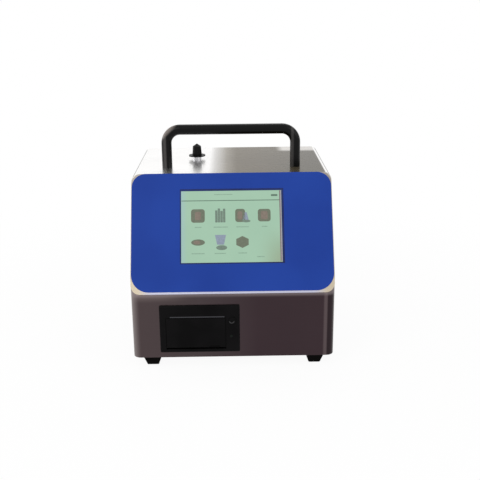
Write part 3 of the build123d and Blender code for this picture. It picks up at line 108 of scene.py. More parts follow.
class CounterMetals(bpy.types.PropertyGroup):
    """Colours of the sheet metal, with reflections, highlights and shade painted into it, and of
    the other metal parts.
    """

    # The lid's colours, from bright to shaded, are a painted reflection of the room: white on the
    # left, grey on the right.
    top_bright_reflection: colour("Top, bright", "Lid on the left", srgb(254, 253, 252))
    top_turn_reflection: colour("Top, turn", "Lid where it starts to darken", srgb(208, 206, 203))
    top_middle_reflection: colour("Top, middle", "Lid just right of its middle", srgb(142, 135, 122))
    top_grey_reflection: colour("Top, grey", "Lid on the right", srgb(98, 87, 68))
    top_shade: colour("Top, shaded", "Lid at the right end", srgb(80, 74, 60))
    # A painted glint, a pale painted reflection, in the rear right corner of the lid.
    top_glint: colour("Top, patch", "Pale patch in the rear right corner", srgb(214, 210, 205))
    # The line along the lid's side bends is a painted shade line.
    top_shade_line: colour("Top, edge line", "Line along the lid's side bends", srgb(62, 60, 59))
    # The front's colours are a painted reflection of a dark room.
    front_left_reflection: colour("Front, left", "Front at the left end", srgb(80, 69, 70))
    front_turn_reflection: colour("Front, turn", "Front at the printer's right edge", srgb(76, 66, 68))
    front_middle_reflection: colour("Front, middle", "Front right of the middle", srgb(62, 50, 54))
    front_right_reflection: colour("Front, right", "Front near the right end", srgb(62, 50, 54))
    # A painted highlight on the left bend, a painted highlight line before the right bend, and
    # painted shade on the right bend.
    front_bend_highlight: colour("Front, left bend", "Light on the left bend", srgb(130, 121, 120))
    front_highlight_line: colour("Front, line", "Pale line before the right bend", srgb(90, 78, 80))
    front_end_shade: colour("Front, right bend", "Shade on the right bend", srgb(50, 41, 44))
    # Painted light on the front's upper left and right below the plate.
    under_panel_light: colour("Under the panel", "Light on the front's upper left", srgb(150, 136, 134))
    under_plate_light: colour("Under the plate", "Light right below the plate", srgb(150, 138, 140))
    # The sides and rear are darker towards the bench and lighter towards the lid: a painted
    # reflection.
    side_low_reflection: colour("Sides, low", "Sides and rear near the bench", srgb(112, 102, 98))
    side: colour("Sides, middle", "Sides and rear of the case", srgb(158, 152, 147))
    side_high_reflection: colour("Sides, high", "Sides and rear near the lid", srgb(196, 192, 188))
    plate: colour("Panel plate", "Pale plate behind the blue film", srgb(186, 186, 204))
    # The plate's warm lower corners are a painted reflection, and its darker upper corners painted
    # shade.
    plate_corner_reflection: colour("Plate, low", "The plate's warm lower corners", srgb(192, 180, 158))
    plate_high_shade: colour("Plate, high", "The plate's upper corners", srgb(150, 143, 134))
    zinc: colour("Zinc", "Zinc plated brackets", srgb(188, 190, 192))
    plated: colour("Plated steel", "Screws, nuts and guards", srgb(190, 190, 190))
    turned: colour("Turned alloy", "Sampling nozzle and ports", srgb(192, 192, 195))
    anodised: colour("Anodised alloy", "Black anodised sensor block", srgb(48, 48, 52))
    brass: colour("Brass", "Stand-offs of the board", srgb(196, 160, 88))
    tear_bar: colour("Tear bar", "Dark steel bar of the printer", srgb(70, 70, 74))
    motor: colour("Motor can", "Steel can of the pump's motor", srgb(176, 176, 178))
    supply: colour("Supply case", "Case of the power supply", srgb(182, 184, 186))


class CounterPlastics(bpy.types.PropertyGroup):
    """Colours of the film, mouldings, rubbers and boards."""

    film: colour("Panel film", "Blue printed film", srgb(33, 66, 155))
    film_deep: colour("Panel film, deep", "Darker patches of the film", srgb(29, 60, 146))
    # The dark line round the screen is the display's dark frame with painted shade in the window's
    # gap.
    window_frame_and_shade: colour("Window edge", "Dark line round the screen", srgb(24, 38, 92))
    printer: colour("Printer", "Black printer moulding", srgb(9, 8, 9))
    handle: colour("Handle", "Black coat of the handle", srgb(4, 4, 4))
    # The handle's greys on the legs and the left bend are painted highlights.
    handle_highlight: colour("Handle, rubbed", "Grey where hands rub the coat", srgb(72, 70, 69))
    handle_bend_highlight: colour("Handle, worn", "Worn coat on the left bend", srgb(140, 131, 126))
    # The grey arc on the feed button is a painted highlight.
    button_highlight: colour("Button rim", "Worn rim of the feed button", srgb(60, 59, 60))
    lamp: colour("Panel lamp", "Dark lens of the lamp", srgb(14, 20, 15))
    head: colour("Print head", "Ceramic of the print head", srgb(212, 208, 198))
    cap: colour("Port cap", "Black moulded cap", srgb(11, 10, 11))
    rubber: colour("Rubber", "Feet, seals and roller", srgb(5, 4, 4))
    housing: colour("Housings", "Black housings inside and behind", srgb(28, 28, 30))
    rocker_mark: colour("Rocker marks", "White bar and ring of the switch", srgb(226, 226, 222))
    capsule: colour("Filter", "White filter capsule", srgb(232, 232, 228))
    silicone: colour("Hose", "Milky silicone hose", srgb(206, 210, 206))
    paper: colour("Paper", "Thermal paper roll", srgb(240, 238, 232))
    board: colour("Circuit board", "Green solder resist", srgb(24, 84, 48))


class CounterScreen(bpy.types.PropertyGroup):
    """Colours and sizes of the screen's plain fields."""

    ground: colour("Ground", "Pale green ground of the screen", srgb(164, 200, 174))
    ground_cool: colour("Ground, cool", "Left end of the ground", srgb(160, 194, 190))
    ground_warm: colour("Ground, warm", "Lower right corner of the ground", srgb(152, 166, 136))
    icon: colour("Icons", "Brown field of an icon", srgb(112, 120, 102))
    icon_warm: colour("Icons, warm", "Warm middle of an icon", srgb(134, 122, 110))
    icon_grey: colour("Icons, grey", "Grey-green field of an icon", srgb(118, 138, 124))
    lilac: colour("Lilac", "Pale lilac field of an icon", srgb(146, 158, 176))
    line: colour("Lines", "Header line and small bars", srgb(98, 124, 108))
    caption: colour("Captions", "Bars that stand for captions", srgb(146, 178, 156))
    # The pale stripe at the right edge is the window's inner wall, made to glow: painted light.
    edge_light: colour("Edge light", "Pale stripe at the right edge", srgb(164, 160, 168))
    edge_line: colour("Edge line", "Dark line beside the pale stripe", srgb(120, 84, 96))
    back: colour("Display back", "Module behind the glass", srgb(60, 66, 62))
    icon_size: length("Icon size", "Side of a square icon", 15.6 * MM)
    icon_corner: length("Icon corner", "Corner radius of a square icon", 3.0 * MM)
    field_height: length("Field height", "Thickness of one printed field", 0.06 * MM)


class CounterStudio(bpy.types.PropertyGroup):
    """Camera and light."""

    focal_length: FloatProperty(
        name="Focal length", description="Lens in millimetres on a 36 mm sensor", default=58.52
    )
    distance: length("Distance", "From the camera to its target", 854.7 * MM)
    target_height: length("Target height", "Height of the camera's target", 154 * MM)
    elevation: FloatProperty(
        name="Elevation",
        description="Height of the camera above the target as an angle",
        default=math.radians(17.5),
        subtype="ANGLE",
    )
    pan: FloatProperty(
        name="Pan",
        description="Turn of the camera to the right of its target",
        default=math.radians(0.6),
        subtype="ANGLE",
    )
    roll: FloatProperty(
        name="Roll",
        description="Clockwise roll of the camera",
        default=math.radians(0.6),
        subtype="ANGLE",
    )
    ambient: FloatProperty(
        name="Ambient", description="Strength of the light from all round", default=0.62, min=0
    )
    lamp_power: FloatProperty(
        name="Lamp power", description="Power of the key lamp", default=14, unit="POWER", min=0
    )


# ---------------------------------------------------------------- finishes


class Field:
    """A number that varies over a surface. Arithmetic on it adds Math nodes."""

    def __init__(self, finish, socket):
        self.finish = finish
        self.socket = socket

    def math(self, operation, *values):
        node = self.finish.node("ShaderNodeMath", {"operation": operation}, dict(enumerate(values)))
        return Field(self.finish, node.outputs[0])

    def __add__(self, other):
        return self.math("ADD", self, other)

    def __sub__(self, other):
        return self.math("SUBTRACT", self, other)

    def __rsub__(self, other):
        return self.math("SUBTRACT", other, self)

    def __mul__(self, other):
        return self.math("MULTIPLY", self, other)

    def __truediv__(self, other):
        return self.math("DIVIDE", self, other)

    def __abs__(self):
        return self.math("ABSOLUTE", self)

    __radd__ = __add__
    __rmul__ = __mul__

    def between(self, low, high):
        """Rises smoothly from 0 at low to 1 at high, where low may be the larger."""
        node = self.finish.node(
            "ShaderNodeMapRange",
            {"interpolation_type": "SMOOTHSTEP"},
            {"Value": self, "From Min": low, "From Max": high},
        )
        return Field(self.finish, node.outputs["Result"])

    def colours(self, *stops):
        """The colour at this place along the stops, each a place from 0 to 1 and a colour."""
        node = self.finish.node("ShaderNodeValToRGB", {"stops": stops}, {"Fac": self})
        return node.outputs["Color"]


class Finish:
    """A procedural material in the making."""

    MIX_FACTOR = 0
    MIX_FIRST = 6
    MIX_SECOND = 7
    MIX_RESULT = 2

    def __init__(self, name, **constants):
        self.material = bpy.data.materials.new(name)
        self.material.use_nodes = True
        self.tree = self.material.node_tree
        self.shader = self.tree.nodes["Principled BSDF"]
        for socket, value in constants.items():
            self.paint(socket.replace("_", " "), value)
        outputs = self.node("ShaderNodeTexCoord").outputs
        self.coordinates = outputs["Object"]
        split = self.node("ShaderNodeSeparateXYZ", inputs={0: self.coordinates})
        self.x, self.y, self.z = (Field(self, socket) for socket in split.outputs)
        split = self.node("ShaderNodeSeparateXYZ", inputs={0: outputs["Normal"]})
        self.facing_up = Field(self, split.outputs["Z"])

    def node(self, kind, settings=None, inputs=None):
        """A new node, with its settings made first and its sockets then filled or linked."""
        made = self.tree.nodes.new(kind)
        for key, value in (settings or {}).items():
            if key == "stops":
                self.set_stops(made.color_ramp, value)
            else:
                setattr(made, key, value)
        for key, value in (inputs or {}).items():
            self.feed(made.inputs[key], value)
        return made

    @staticmethod
    def set_stops(ramp, stops):
        for index, (place, shade) in enumerate(stops):
            if index < len(ramp.elements):
                element = ramp.elements[index]
                element.position = place
            else:
                element = ramp.elements.new(place)
            element.color = (*shade, 1)

    def feed(self, socket, value):
        """Links a field or a node's output to a socket, or sets the socket's own value."""
        if isinstance(value, Field):
            value = value.socket
        if isinstance(value, bpy.types.NodeSocket):
            self.tree.links.new(value, socket)
        elif socket.type == "RGBA":
            socket.default_value = (*value, 1)
        else:
            socket.default_value = value

    def paint(self, socket, value):
        """Feeds one socket of the surface shader."""
        self.feed(self.shader.inputs[socket], value)

    def mix(self, factor, first, second, blend="MIX"):
        """Two colours mixed by a factor."""
        node = self.node(
            "ShaderNodeMix",
            {"data_type": "RGBA", "blend_type": blend},
            {self.MIX_FACTOR: factor, self.MIX_FIRST: first, self.MIX_SECOND: second},
        )
        return node.outputs[self.MIX_RESULT]

    def noise(self, grains, detail=2.0, stretch=(1, 1, 1)):
        """Noise with so many grains to a metre, drawn out where stretch is small."""
        stretched = self.node(
            "ShaderNodeVectorMath", {"operation": "MULTIPLY"}, {0: self.coordinates, 1: stretch}
        )
        node = self.node(
            "ShaderNodeTexNoise",
            inputs={"Vector": stretched.outputs[0], "Scale": grains, "Detail": detail},
        )
        return Field(self, node.outputs["Fac"])

    def bump(self, height, distance, strength=1.0):
        """Raises the surface by a height of 0 to 1 times the distance in metres."""
        node = self.node(
            "ShaderNodeBump", inputs={"Height": height, "Distance": distance, "Strength": strength}
        )
        self.paint("Normal", node.outputs["Normal"])

    def dress(self, *slots):
        """Puts the finish on every node of the slots."""
        for slot in slots:
            for node in nodes_of(slot):
                self.dress_node(node.name)

    def dress_node(self, name):
        """Puts the finish on one node."""
        slots = NODES[name].data.materials
        slots.clear()
        slots.append(self.material)


def moulded(name, shade, roughness, specular, grain=900, depth=0.00004, mottle=0.25):
    """A moulded or coated surface with a fine grain and slight mottling."""
    finish = Finish(name, Specular_IOR_Level=specular)
    grains = finish.noise(grain, 3.0)
    cloud = finish.noise(28, 2.0)
    lighter = tuple(min(1.0, channel * (1 + mottle) + 0.001) for channel in shade)
    darker = tuple(channel * (1 - mottle) for channel in shade)
    finish.paint("Base Color", cloud.between(0.3, 0.7).colours((0, darker), (1, lighter)))
    finish.paint("Roughness", roughness + (grains - 0.5) * 0.16 + (cloud - 0.5) * 0.1)
    finish.bump(grains, depth)
    return finish


def metal(name, shade, roughness, grain=1800, stretch=(1, 1, 1), depth=0.00001):
    """A bare or plated metal with its grain."""
    finish = Finish(name, Metallic=1.0)
    grains = finish.noise(grain, 3.0, stretch)
    cloud = finish.noise(22, 2.0)
    dull = tuple(channel * 0.82 for channel in shade)
    wear = (grains * 0.5 + cloud * 0.5).between(0.3, 0.7)
    finish.paint("Base Color", wear.colours((0, dull), (1, shade)))
    finish.paint("Roughness", roughness + (grains - 0.5) * 0.14 + (cloud - 0.5) * 0.08)
    finish.bump(grains, depth)
    return finish


# ---------------------------------------------------------------- modelling helpers


def add_piece(name, mesh, material, body):
    """Turns a bmesh into a finished piece that rides on a body."""
    bmesh.ops.remove_doubles(mesh, verts=mesh.verts, dist=1e-7)
    bmesh.ops.recalc_face_normals(mesh, faces=mesh.faces)
    data = bpy.data.meshes.new(name)
    mesh.to_mesh(data)
    mesh.free()
    data.materials.append(material)
    piece = bpy.data.objects.new(name, data)
    bpy.context.scene.collection.objects.link(piece)
    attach(piece, body)
    return piece


def corners_softened(mesh, edges, radius, segments=4):
    """Rounds the given edges."""
    bmesh.ops.bevel(
        mesh,
        geom=edges,
        offset=radius,
        offset_type="OFFSET",
        affect="EDGES",
        segments=segments,
        profile=0.5,
        material=-1,
    )


def field_block(mesh, width, height, depth, corner=0.0, centre=(0, 0), level=0.0, segments=4):
    """A thin printed field: a block that stands from level up, with rounded corners."""
    place = Matrix.Translation((centre[0], centre[1], level + depth / 2))
    made = bmesh.ops.create_cube(
        mesh, size=1, matrix=place @ Matrix.Diagonal((width, height, depth, 1))
    )
    if corner:
        upright = [
            edge
            for edge in {edge for vert in made["verts"] for edge in vert.link_edges}
            if abs(edge.verts[0].co.z - edge.verts[1].co.z) > depth / 2
        ]
        corners_softened(mesh, upright, corner, segments)


def field_disc(mesh, width, height, depth, sides=40, centre=(0, 0), level=0.0, turn=0.0):
    """A thin printed field with a round, oval or many-sided outline."""
    place = Matrix.Translation((centre[0], centre[1], level + depth / 2))
    shape = Matrix.Diagonal((width, height, 1, 1)) @ Matrix.Rotation(turn, 4, "Z")
    bmesh.ops.create_cone(
        mesh,
        cap_ends=True,
        cap_tris=False,
        segments=sides,
        radius1=0.5,
        radius2=0.5,
        depth=depth,
        matrix=place @ shape,
    )


def hollowed(mesh, width, height):
    """Turns the mesh's one face into a frame of that width, which stands up by that height."""
    bmesh.ops.inset_region(
        mesh, faces=mesh.faces[:], thickness=width, use_boundary=True, use_even_offset=True
    )
    opening = min(mesh.faces, key=lambda face: face.calc_center_median().length)
    bmesh.ops.delete(mesh, geom=[opening], context="FACES")
    bmesh.ops.solidify(mesh, geom=mesh.faces[:], thickness=-height)
    lowest = min(vert.co.z for vert in mesh.verts)
    bmesh.ops.translate(mesh, vec=(0, 0, -lowest), verts=mesh.verts)


def plane_of(origin, across, up):
    """The matrix of a plane from its origin and two directions."""
    across = Vector(across).normalized()
    outward = across.cross(Vector(up)).normalized()
    upward = outward.cross(across)
    turned = Matrix((across, upward, outward)).transposed().to_4x4()
    return Matrix.Translation(origin) @ turned


def placed(mesh, plane):
    """Moves a mesh from the drawing plane to its plane on the object."""
    bmesh.ops.transform(mesh, matrix=plane, verts=mesh.verts)
    return mesh


def middle_of(node):
    """The middle of a node's box."""
    low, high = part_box(node)
    return (Vector(low) + Vector(high)) / 2


def flat_middle(node, outward):
    """The middle of a node's flat face that looks outward."""
    flat = [face for face in NODES[node].data.polygons if face.normal.dot(outward) > 0.9995]
    area = sum(face.area for face in flat)
    return sum((face.center * face.area for face in flat), Vector()) / area


# ---------------------------------------------------------------- the panel's plane


PANEL_TILT = math.radians(27.2)
GLASS_THICKNESS = 2.0 * MM
WINDOW_WIDTH = 118.2 * MM
WINDOW_HEIGHT = 86.6 * MM
PANEL_UP = Vector((0, math.sin(PANEL_TILT), math.cos(PANEL_TILT)))
PANEL_OUT = Vector((0, -math.cos(PANEL_TILT), math.sin(PANEL_TILT)))
SCREEN = plane_of(middle_of("touch_glass") + PANEL_OUT * GLASS_THICKNESS / 2, (1, 0, 0), PANEL_UP)


# ---------------------------------------------------------------- operators


class COUNTER_OT_sheet_metal(bpy.types.Operator):
    """Gives the folded case, base and rear panel their brushed stainless sheet, with painted
    reflections, highlights and shade
    """

    bl_idname = "counter.sheet_metal"
    bl_label = "Finish the sheet metal"

    # The width of a bend, the place of the lid's painted glint from the middle and the rear,
    # and the height where the front starts to slope.
    BEND = 9 * MM
    GLINT_LEFT = 58 * MM
    GLINT_DEPTH = 34 * MM
    SLOPE_START = 76 * MM

    def execute(self, context):
        shades = context.scene.counter_metals
        low, high = (Vector(corner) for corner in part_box("case_shell"))
        sheet = Finish("stainless_sheet", Specular_IOR_Level=0.1)
        place = (sheet.x - low.x) / (high.x - low.x)
        from_side = high.x - abs(sheet.x)
        on_top = sheet.facing_up.between(0.5, 0.75)
        on_front = (sheet.y - low.y).between(self.BEND, self.BEND / 4)
        on_side = from_side.between(self.BEND / 3, self.BEND / 12)

        # The lid takes a painted reflection, and is less metallic where that painted reflection is
        # grey.
        lid, painted_reflection_share = self.lid(sheet, shades, place, from_side, high)
        # Sides and rear: a painted reflection, darker towards the bench and lighter towards the
        # lid.
        wall = sheet.z.between(low.z, high.z).colours(
            (0, shades.side_low_reflection), (0.6, shades.side), (1, shades.side_high_reflection)
        )
        # The front takes a painted reflection of a dark room, with painted highlights and shade.
        wall = sheet.mix(on_front, wall, self.front(sheet, shades, place, low, high))
        plain = sheet.mix(on_top, wall, lid)

        along_x = sheet.noise(900, 3.0, (0.03, 1, 1))
        along_y = sheet.noise(900, 3.0, (1, 0.03, 1))
        streaks = ((0, (0.86, 0.86, 0.86)), (1, (1.1, 1.1, 1.1)))
        grain = sheet.mix(on_side, along_x.colours(*streaks), along_y.colours(*streaks))
        grained = sheet.mix(0.35, plain, grain, "MULTIPLY")
        cloud = sheet.noise(14, 2.0, (1, 1, 0.5))
        patches = cloud.between(0.3, 0.7).colours((0, (0.82, 0.82, 0.82)), (1, (1, 1, 1)))
        sheet.paint("Base Color", sheet.mix(0.3, grained, patches, "MULTIPLY"))
        sheet.paint("Metallic", 1 - on_top * painted_reflection_share)
        streak = along_x + on_side * (along_y - along_x)
        sheet.paint("Roughness", 0.24 + streak * 0.08 + on_front * 0.1 - on_top * 0.02)
        sheet.bump(streak, 0.000003, 0.4)
        sheet.dress("stainless")
        metal("zinc_sheet_finish", shades.zinc, 0.38, 700).dress("zinc_sheet")
        return {"FINISHED"}

    def lid(self, sheet, shades, place, from_side, high):
        """The lid's colour, a painted reflection, and the share by which it is less metallic:
        bright on the left, grey on the right.
        """
        top = place.colours(
            (0, shades.top_bright_reflection),
            (0.385, shades.top_bright_reflection),
            (0.415, shades.top_turn_reflection),
            (0.475, shades.top_middle_reflection),
            (0.53, shades.top_grey_reflection),
            (0.92, shades.top_shade),
        )
        # A painted glint, a pale painted reflection, in the rear right corner of the lid.
        in_glint = sheet.x.between(self.GLINT_LEFT, self.GLINT_LEFT + 12 * MM)
        from_rear = high.y - sheet.y
        in_glint = in_glint * from_rear.between(self.GLINT_DEPTH, self.GLINT_DEPTH - 14 * MM)
        # A painted highlight along the lid's side bends, and a painted shade line at their edge.
        at_bend = from_side.between(self.BEND * 0.8, self.BEND * 0.64)
        at_edge = from_side.between(self.BEND * 0.42, self.BEND * 0.3)
        top = sheet.mix(in_glint, top, shades.top_glint)
        top = sheet.mix(at_bend, top, shades.top_bright_reflection)
        top = sheet.mix(at_edge, top, shades.top_shade_line)
        # Less metallic where the painted reflection is grey and along the painted shade line.
        right_half = place.between(0.4, 0.52) * (1 - at_bend) * (1 - in_glint)
        return top, right_half * 0.66 + at_edge * 0.9

    def front(self, sheet, shades, place, low, high):
        """The front's colour, a painted reflection of a dark room, with painted light: lighter on
        the left and right below the panel.
        """
        front = place.colours(
            (0, shades.front_left_reflection),
            (0.34, shades.front_turn_reflection),
            (0.62, shades.front_middle_reflection),
            (1, shades.front_right_reflection),
        )
        from_left = sheet.x - low.x
        from_right = high.x - sheet.x
        below_slope = self.SLOPE_START - (sheet.z - low.z)
        # A painted highlight on the left bend, a painted highlight line before the right bend, and
        # painted shade on the right bend.
        at_left = from_left.between(self.BEND * 1.1, 0)
        at_line = from_right.between(self.BEND * 1.5, self.BEND * 1.25)
        at_right = from_right.between(self.BEND * 1.05, self.BEND * 0.85)
        # Painted light on the upper left below the panel and right below the plate.
        under_panel_light = below_slope.between(10 * MM, 0) * place.between(0.32, 0.12)
        under_plate_light = below_slope.between(4 * MM, -1 * MM)
        front = sheet.mix(at_left, front, shades.front_bend_highlight)
        front = sheet.mix(at_line, front, shades.front_highlight_line)
        front = sheet.mix(at_right, front, shades.front_end_shade)
        front = sheet.mix(under_panel_light * 0.3, front, shades.under_panel_light)
        return sheet.mix(under_plate_light * 0.5, front, shades.under_plate_light)


class COUNTER_OT_front_panel(bpy.types.Operator):
    """Gives the sloped panel its pale plate, blue film and dark window edge"""

    bl_idname = "counter.front_panel"
    bl_label = "Finish the front panel"

    # The ends of the plate that take a warm painted reflection low down and painted shade high up,
    # and the frame round the window.
    CORNER_WIDTH = 26 * MM
    END_HEIGHT = 20 * MM
    EDGE_WIDTH = 1.9 * MM
    EDGE_HEIGHT = 0.25 * MM
    OPENING_SHIFT = (-0.5 * MM, -0.45 * MM, 0)

    def execute(self, context):
        metals = context.scene.counter_metals
        plastics = context.scene.counter_plastics
        low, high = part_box("front_plate")

        plate = Finish("panel_plate", Metallic=1.0)
        grains = plate.noise(1200, 3.0, (0.04, 1, 1))
        from_side = high[0] - abs(plate.x)
        # The plate's ends take a warm painted reflection low down and painted shade high up.
        at_corner = from_side.between(self.CORNER_WIDTH, self.CORNER_WIDTH - 20 * MM)
        height = plate.z.between(low[2] + self.END_HEIGHT, high[2] - self.END_HEIGHT)
        corner = plate.mix(height, metals.plate_corner_reflection, metals.plate_high_shade)
        plate.paint("Base Color", plate.mix(at_corner, metals.plate, corner))
        plate.paint("Roughness", 0.3 + grains * 0.12)
        plate.bump(grains, 0.000006, 0.5)
        plate.dress("panel_metal")

        film = Finish("panel_film", Specular_IOR_Level=0.1)
        cloud = film.noise(11, 2.0)
        grain = film.noise(2600, 2.0)
        patches = cloud.between(0.32, 0.68).colours((0, plastics.film_deep), (1, plastics.film))
        film.paint("Base Color", patches)
        film.paint("Roughness", 0.36 + grain * 0.12)
        film.bump(grain, 0.000012, 0.5)
        film.dress("panel_blue")

        edge = moulded("window_frame_and_shade_finish", plastics.window_frame_and_shade, 0.45, 0.2)
        self.window_frame_and_shade(edge.material)
        return {"FINISHED"}

    def window_frame_and_shade(self, material):
        """A thin dark frame on the glass, just inside the film's window: the display's dark frame
        with painted shade in the window's gap.
        """
        mesh = bmesh.new()
        bmesh.ops.create_grid(
            mesh, x_segments=1, y_segments=1, size=0.5,
            matrix=Matrix.Diagonal((WINDOW_WIDTH, WINDOW_HEIGHT, 1, 1)),
        )
        hollowed(mesh, self.EDGE_WIDTH, self.EDGE_HEIGHT)
        halfway = WINDOW_HEIGHT / 2 - self.EDGE_WIDTH / 2
        inner = [vert for vert in mesh.verts if abs(vert.co.y) < halfway]
        bmesh.ops.translate(mesh, vec=self.OPENING_SHIFT, verts=inner)
        add_piece("window_frame_and_shade", placed(mesh, SCREEN), material, "case")


class COUNTER_OT_screen(bpy.types.Operator):
    """Lights the screen and lays out its plain fields: header, icons and captions"""

    bl_idname = "counter.screen"
    bl_label = "Lay out the screen"

    GLOW = 0.82
    SHEEN = 0.3
    UNLIT = (0.12, 0.12, 0.12)
    COLUMNS = (-38.6 * MM, -13.2 * MM, 11.6 * MM, 36.8 * MM)
    UPPER_ROW = 12.0 * MM
    LOWER_ROW = -18.6 * MM
    ROUND_SIDES = 24
    # The middle and width of each caption, in millimetres.
    CAPTIONS = (
        (-38.4, -1.2, 7.6), (-12.8, -1.2, 16.0), (11.9, -1.2, 14.0), (36.9, -1.0, 6.4),
        (-38.6, -31.4, 14.6), (-13.6, -31.4, 12.6), (11.6, -31.2, 9.6), (32.0, -35.6, 8.4),
    )
    CAPTION_HEIGHT = 1.1 * MM

    def execute(self, context):
        shades = context.scene.counter_screen
        self.step = shades.field_height
        self.light_glass(shades)
        caption = self.lit("screen_caption_finish", shades.caption)
        self.header(shades, caption)
        self.icons(shades)
        self.captions(caption)
        moulded("display_back", shades.back, 0.5, 0.4).dress("display_body")
        return {"FINISHED"}

    def light_glass(self, shades):
        """The lit ground, cooler at the left and warmer in the lower right corner."""
        glass = Finish(
            "lit_screen",
            Emission_Strength=self.GLOW,
            Specular_IOR_Level=self.SHEEN,
            Coat_Weight=0.3,
        )
        middle = middle_of("touch_glass")
        left = glass.x.between(-WINDOW_WIDTH * 0.42, -WINDOW_WIDTH / 2)
        right = glass.x.between(WINDOW_WIDTH * 0.22, WINDOW_WIDTH / 2)
        low = glass.z.between(middle.z + 4 * MM, middle.z - WINDOW_HEIGHT * 0.45)
        cloud = glass.noise(30, 2.0)
        patches = cloud.between(0.3, 0.7).colours((0, (0.93, 0.95, 0.95)), (1, (1, 1, 1)))
        shade = glass.mix(left, shades.ground, shades.ground_cool)
        shade = glass.mix(right * low * 0.8, shade, shades.ground_warm)
        shade = glass.mix(0.5, shade, patches, "MULTIPLY")
        glass.paint("Emission Color", shade)
        glass.paint("Base Color", glass.mix(1.0, shade, self.UNLIT, "MULTIPLY"))
        glass.paint("Roughness", 0.3 + cloud * 0.08)
        glass.dress("screen_glass")

    def lit(self, name, shade):
        """A plain lit colour of the screen."""
        finish = Finish(name, Emission_Strength=self.GLOW, Specular_IOR_Level=self.SHEEN)
        speck = finish.noise(500, 2.0)
        softer = tuple(channel * 0.86 for channel in shade)
        mixed = speck.between(0.3, 0.7).colours((0, softer), (1, shade))
        finish.paint("Emission Color", mixed)
        finish.paint("Base Color", finish.mix(1.0, mixed, self.UNLIT, "MULTIPLY"))
        finish.paint("Roughness", 0.35 + speck * 0.08)
        return finish.material

    def field(self, name, mesh, material):
        """Sets a drawn field on the glass."""
        add_piece(name, placed(mesh, SCREEN), material, "case")

    def header(self, shades, caption):
        """The header line with its short mark, the title bar and the right edge's stripes."""
        line = self.lit("screen_line_finish", shades.line)
        edge_light = self.lit("screen_edge_finish", shades.edge_light)
        edge_line = self.lit("screen_edge_line_finish", shades.edge_line)
        # Each piece's bars: width, height, corner radius and middle, in millimetres.
        pieces = (
            ("screen_header", line, (111.6, 0.9, 0, -1.4, 29.6), (7.4, 2.2, 0.4, 48.6, 35.2)),
            ("screen_title_bar", caption, (21, 0.9, 0, -9.5, 36.6)),
            # The pale stripe is the window's inner wall, made to glow: painted light.
            ("screen_edge_light", edge_light, (1.3, 81.4, 0, 55.9, 0)),
            ("screen_edge_line", edge_line, (0.8, 81.4, 0, 54.8, 0)),
        )
        for name, material, *bars in pieces:
            mesh = bmesh.new()
            for bar in bars:
                width, height, corner, x, y = (size * MM for size in bar)
                field_block(mesh, width, height, self.step, corner, (x, y))
            self.field(name, mesh, material)

    def icons(self, shades):
        """Seven generic icons in two rows, whose sizes are shares of the icon size."""
        size = shades.icon_size
        corner = shades.icon_corner
        step = self.step
        sides = self.ROUND_SIDES
        first, second, third, fourth = self.COLUMNS
        upper, lower = self.UPPER_ROW, self.LOWER_ROW

        mesh = bmesh.new()
        field_block(mesh, size, size, step, corner, (first, upper))
        field_block(mesh, size * 0.93, size * 0.93, step, corner, (fourth, upper))
        field_block(mesh, size * 0.72, size * 0.98, step, corner, (third - size * 0.14, upper))
        field_disc(mesh, size, size * 0.46, step, sides, (first, lower))
        field_disc(mesh, size * 1.04, size * 0.88, step, 6, (third, lower))
        self.field("icon_fields", mesh, self.lit("icon_finish", shades.icon))

        mesh = bmesh.new()
        corner = corner * 0.6
        for x, width in ((first, 0.44), (fourth, 0.5), (third - size * 0.16, 0.36)):
            field_block(mesh, size * width, size * 0.62, step, corner, (x, upper), step)
        middle = (first - size * 0.08, lower)
        field_disc(mesh, size * 0.5, size * 0.26, step, sides, middle, step)
        self.field("icon_middles", mesh, self.lit("icon_warm_finish", shades.icon_warm))

        mesh = bmesh.new()
        bar = size * 0.17
        for index, tall in enumerate((0.9, 1.04, 0.86, 1.02)):
            middle = (second + (index - 1.5) * bar * 1.12, upper - size * (1 - tall) / 2)
            field_block(mesh, bar, size * tall, step, 0.3 * MM, middle)
        foot = (second + size * 0.08, lower - size * 0.4)
        field_disc(mesh, size * 0.8, size * 0.36, step, sides, foot)
        foot = (third + size * 0.3, upper - size * 0.42)
        field_disc(mesh, size * 0.62, size * 0.2, step, sides, foot, step)
        self.field("icon_bars", mesh, self.lit("icon_grey_finish", shades.icon_grey))

        mesh = bmesh.new()
        middle = (second, lower + size * 0.18)
        self.cone(mesh, size * 0.8, size * 0.5, size * 0.72, middle, step)
        middle = (third + size * 0.26, upper - size * 0.1)
        self.cone(mesh, size * 0.16, size * 0.48, size * 0.66, middle, 0)
        self.field("icon_cones", mesh, self.lit("icon_lilac_finish", shades.lilac))

    def cone(self, mesh, upper_width, lower_width, height, centre, level):
        """A field that narrows from one end to the other."""
        place = Matrix.Translation((centre[0], centre[1], level + self.step / 2))
        made = bmesh.ops.create_cube(
            mesh, size=1, matrix=place @ Matrix.Diagonal((upper_width, height, self.step, 1))
        )
        foot = [vert for vert in made["verts"] if vert.co.y < centre[1]]
        bmesh.ops.scale(
            mesh,
            vec=(lower_width / upper_width, 1, 1),
            verts=foot,
            space=Matrix.Translation((-centre[0], -centre[1], 0)),
        )

    def captions(self, material):
        """Plain bars where the captions stand."""
        mesh = bmesh.new()
        for x, y, width in self.CAPTIONS:
            middle = (x * MM, y * MM)
            field_block(mesh, width * MM, self.CAPTION_HEIGHT, self.step, centre=middle)
        self.field("screen_captions", mesh, material)


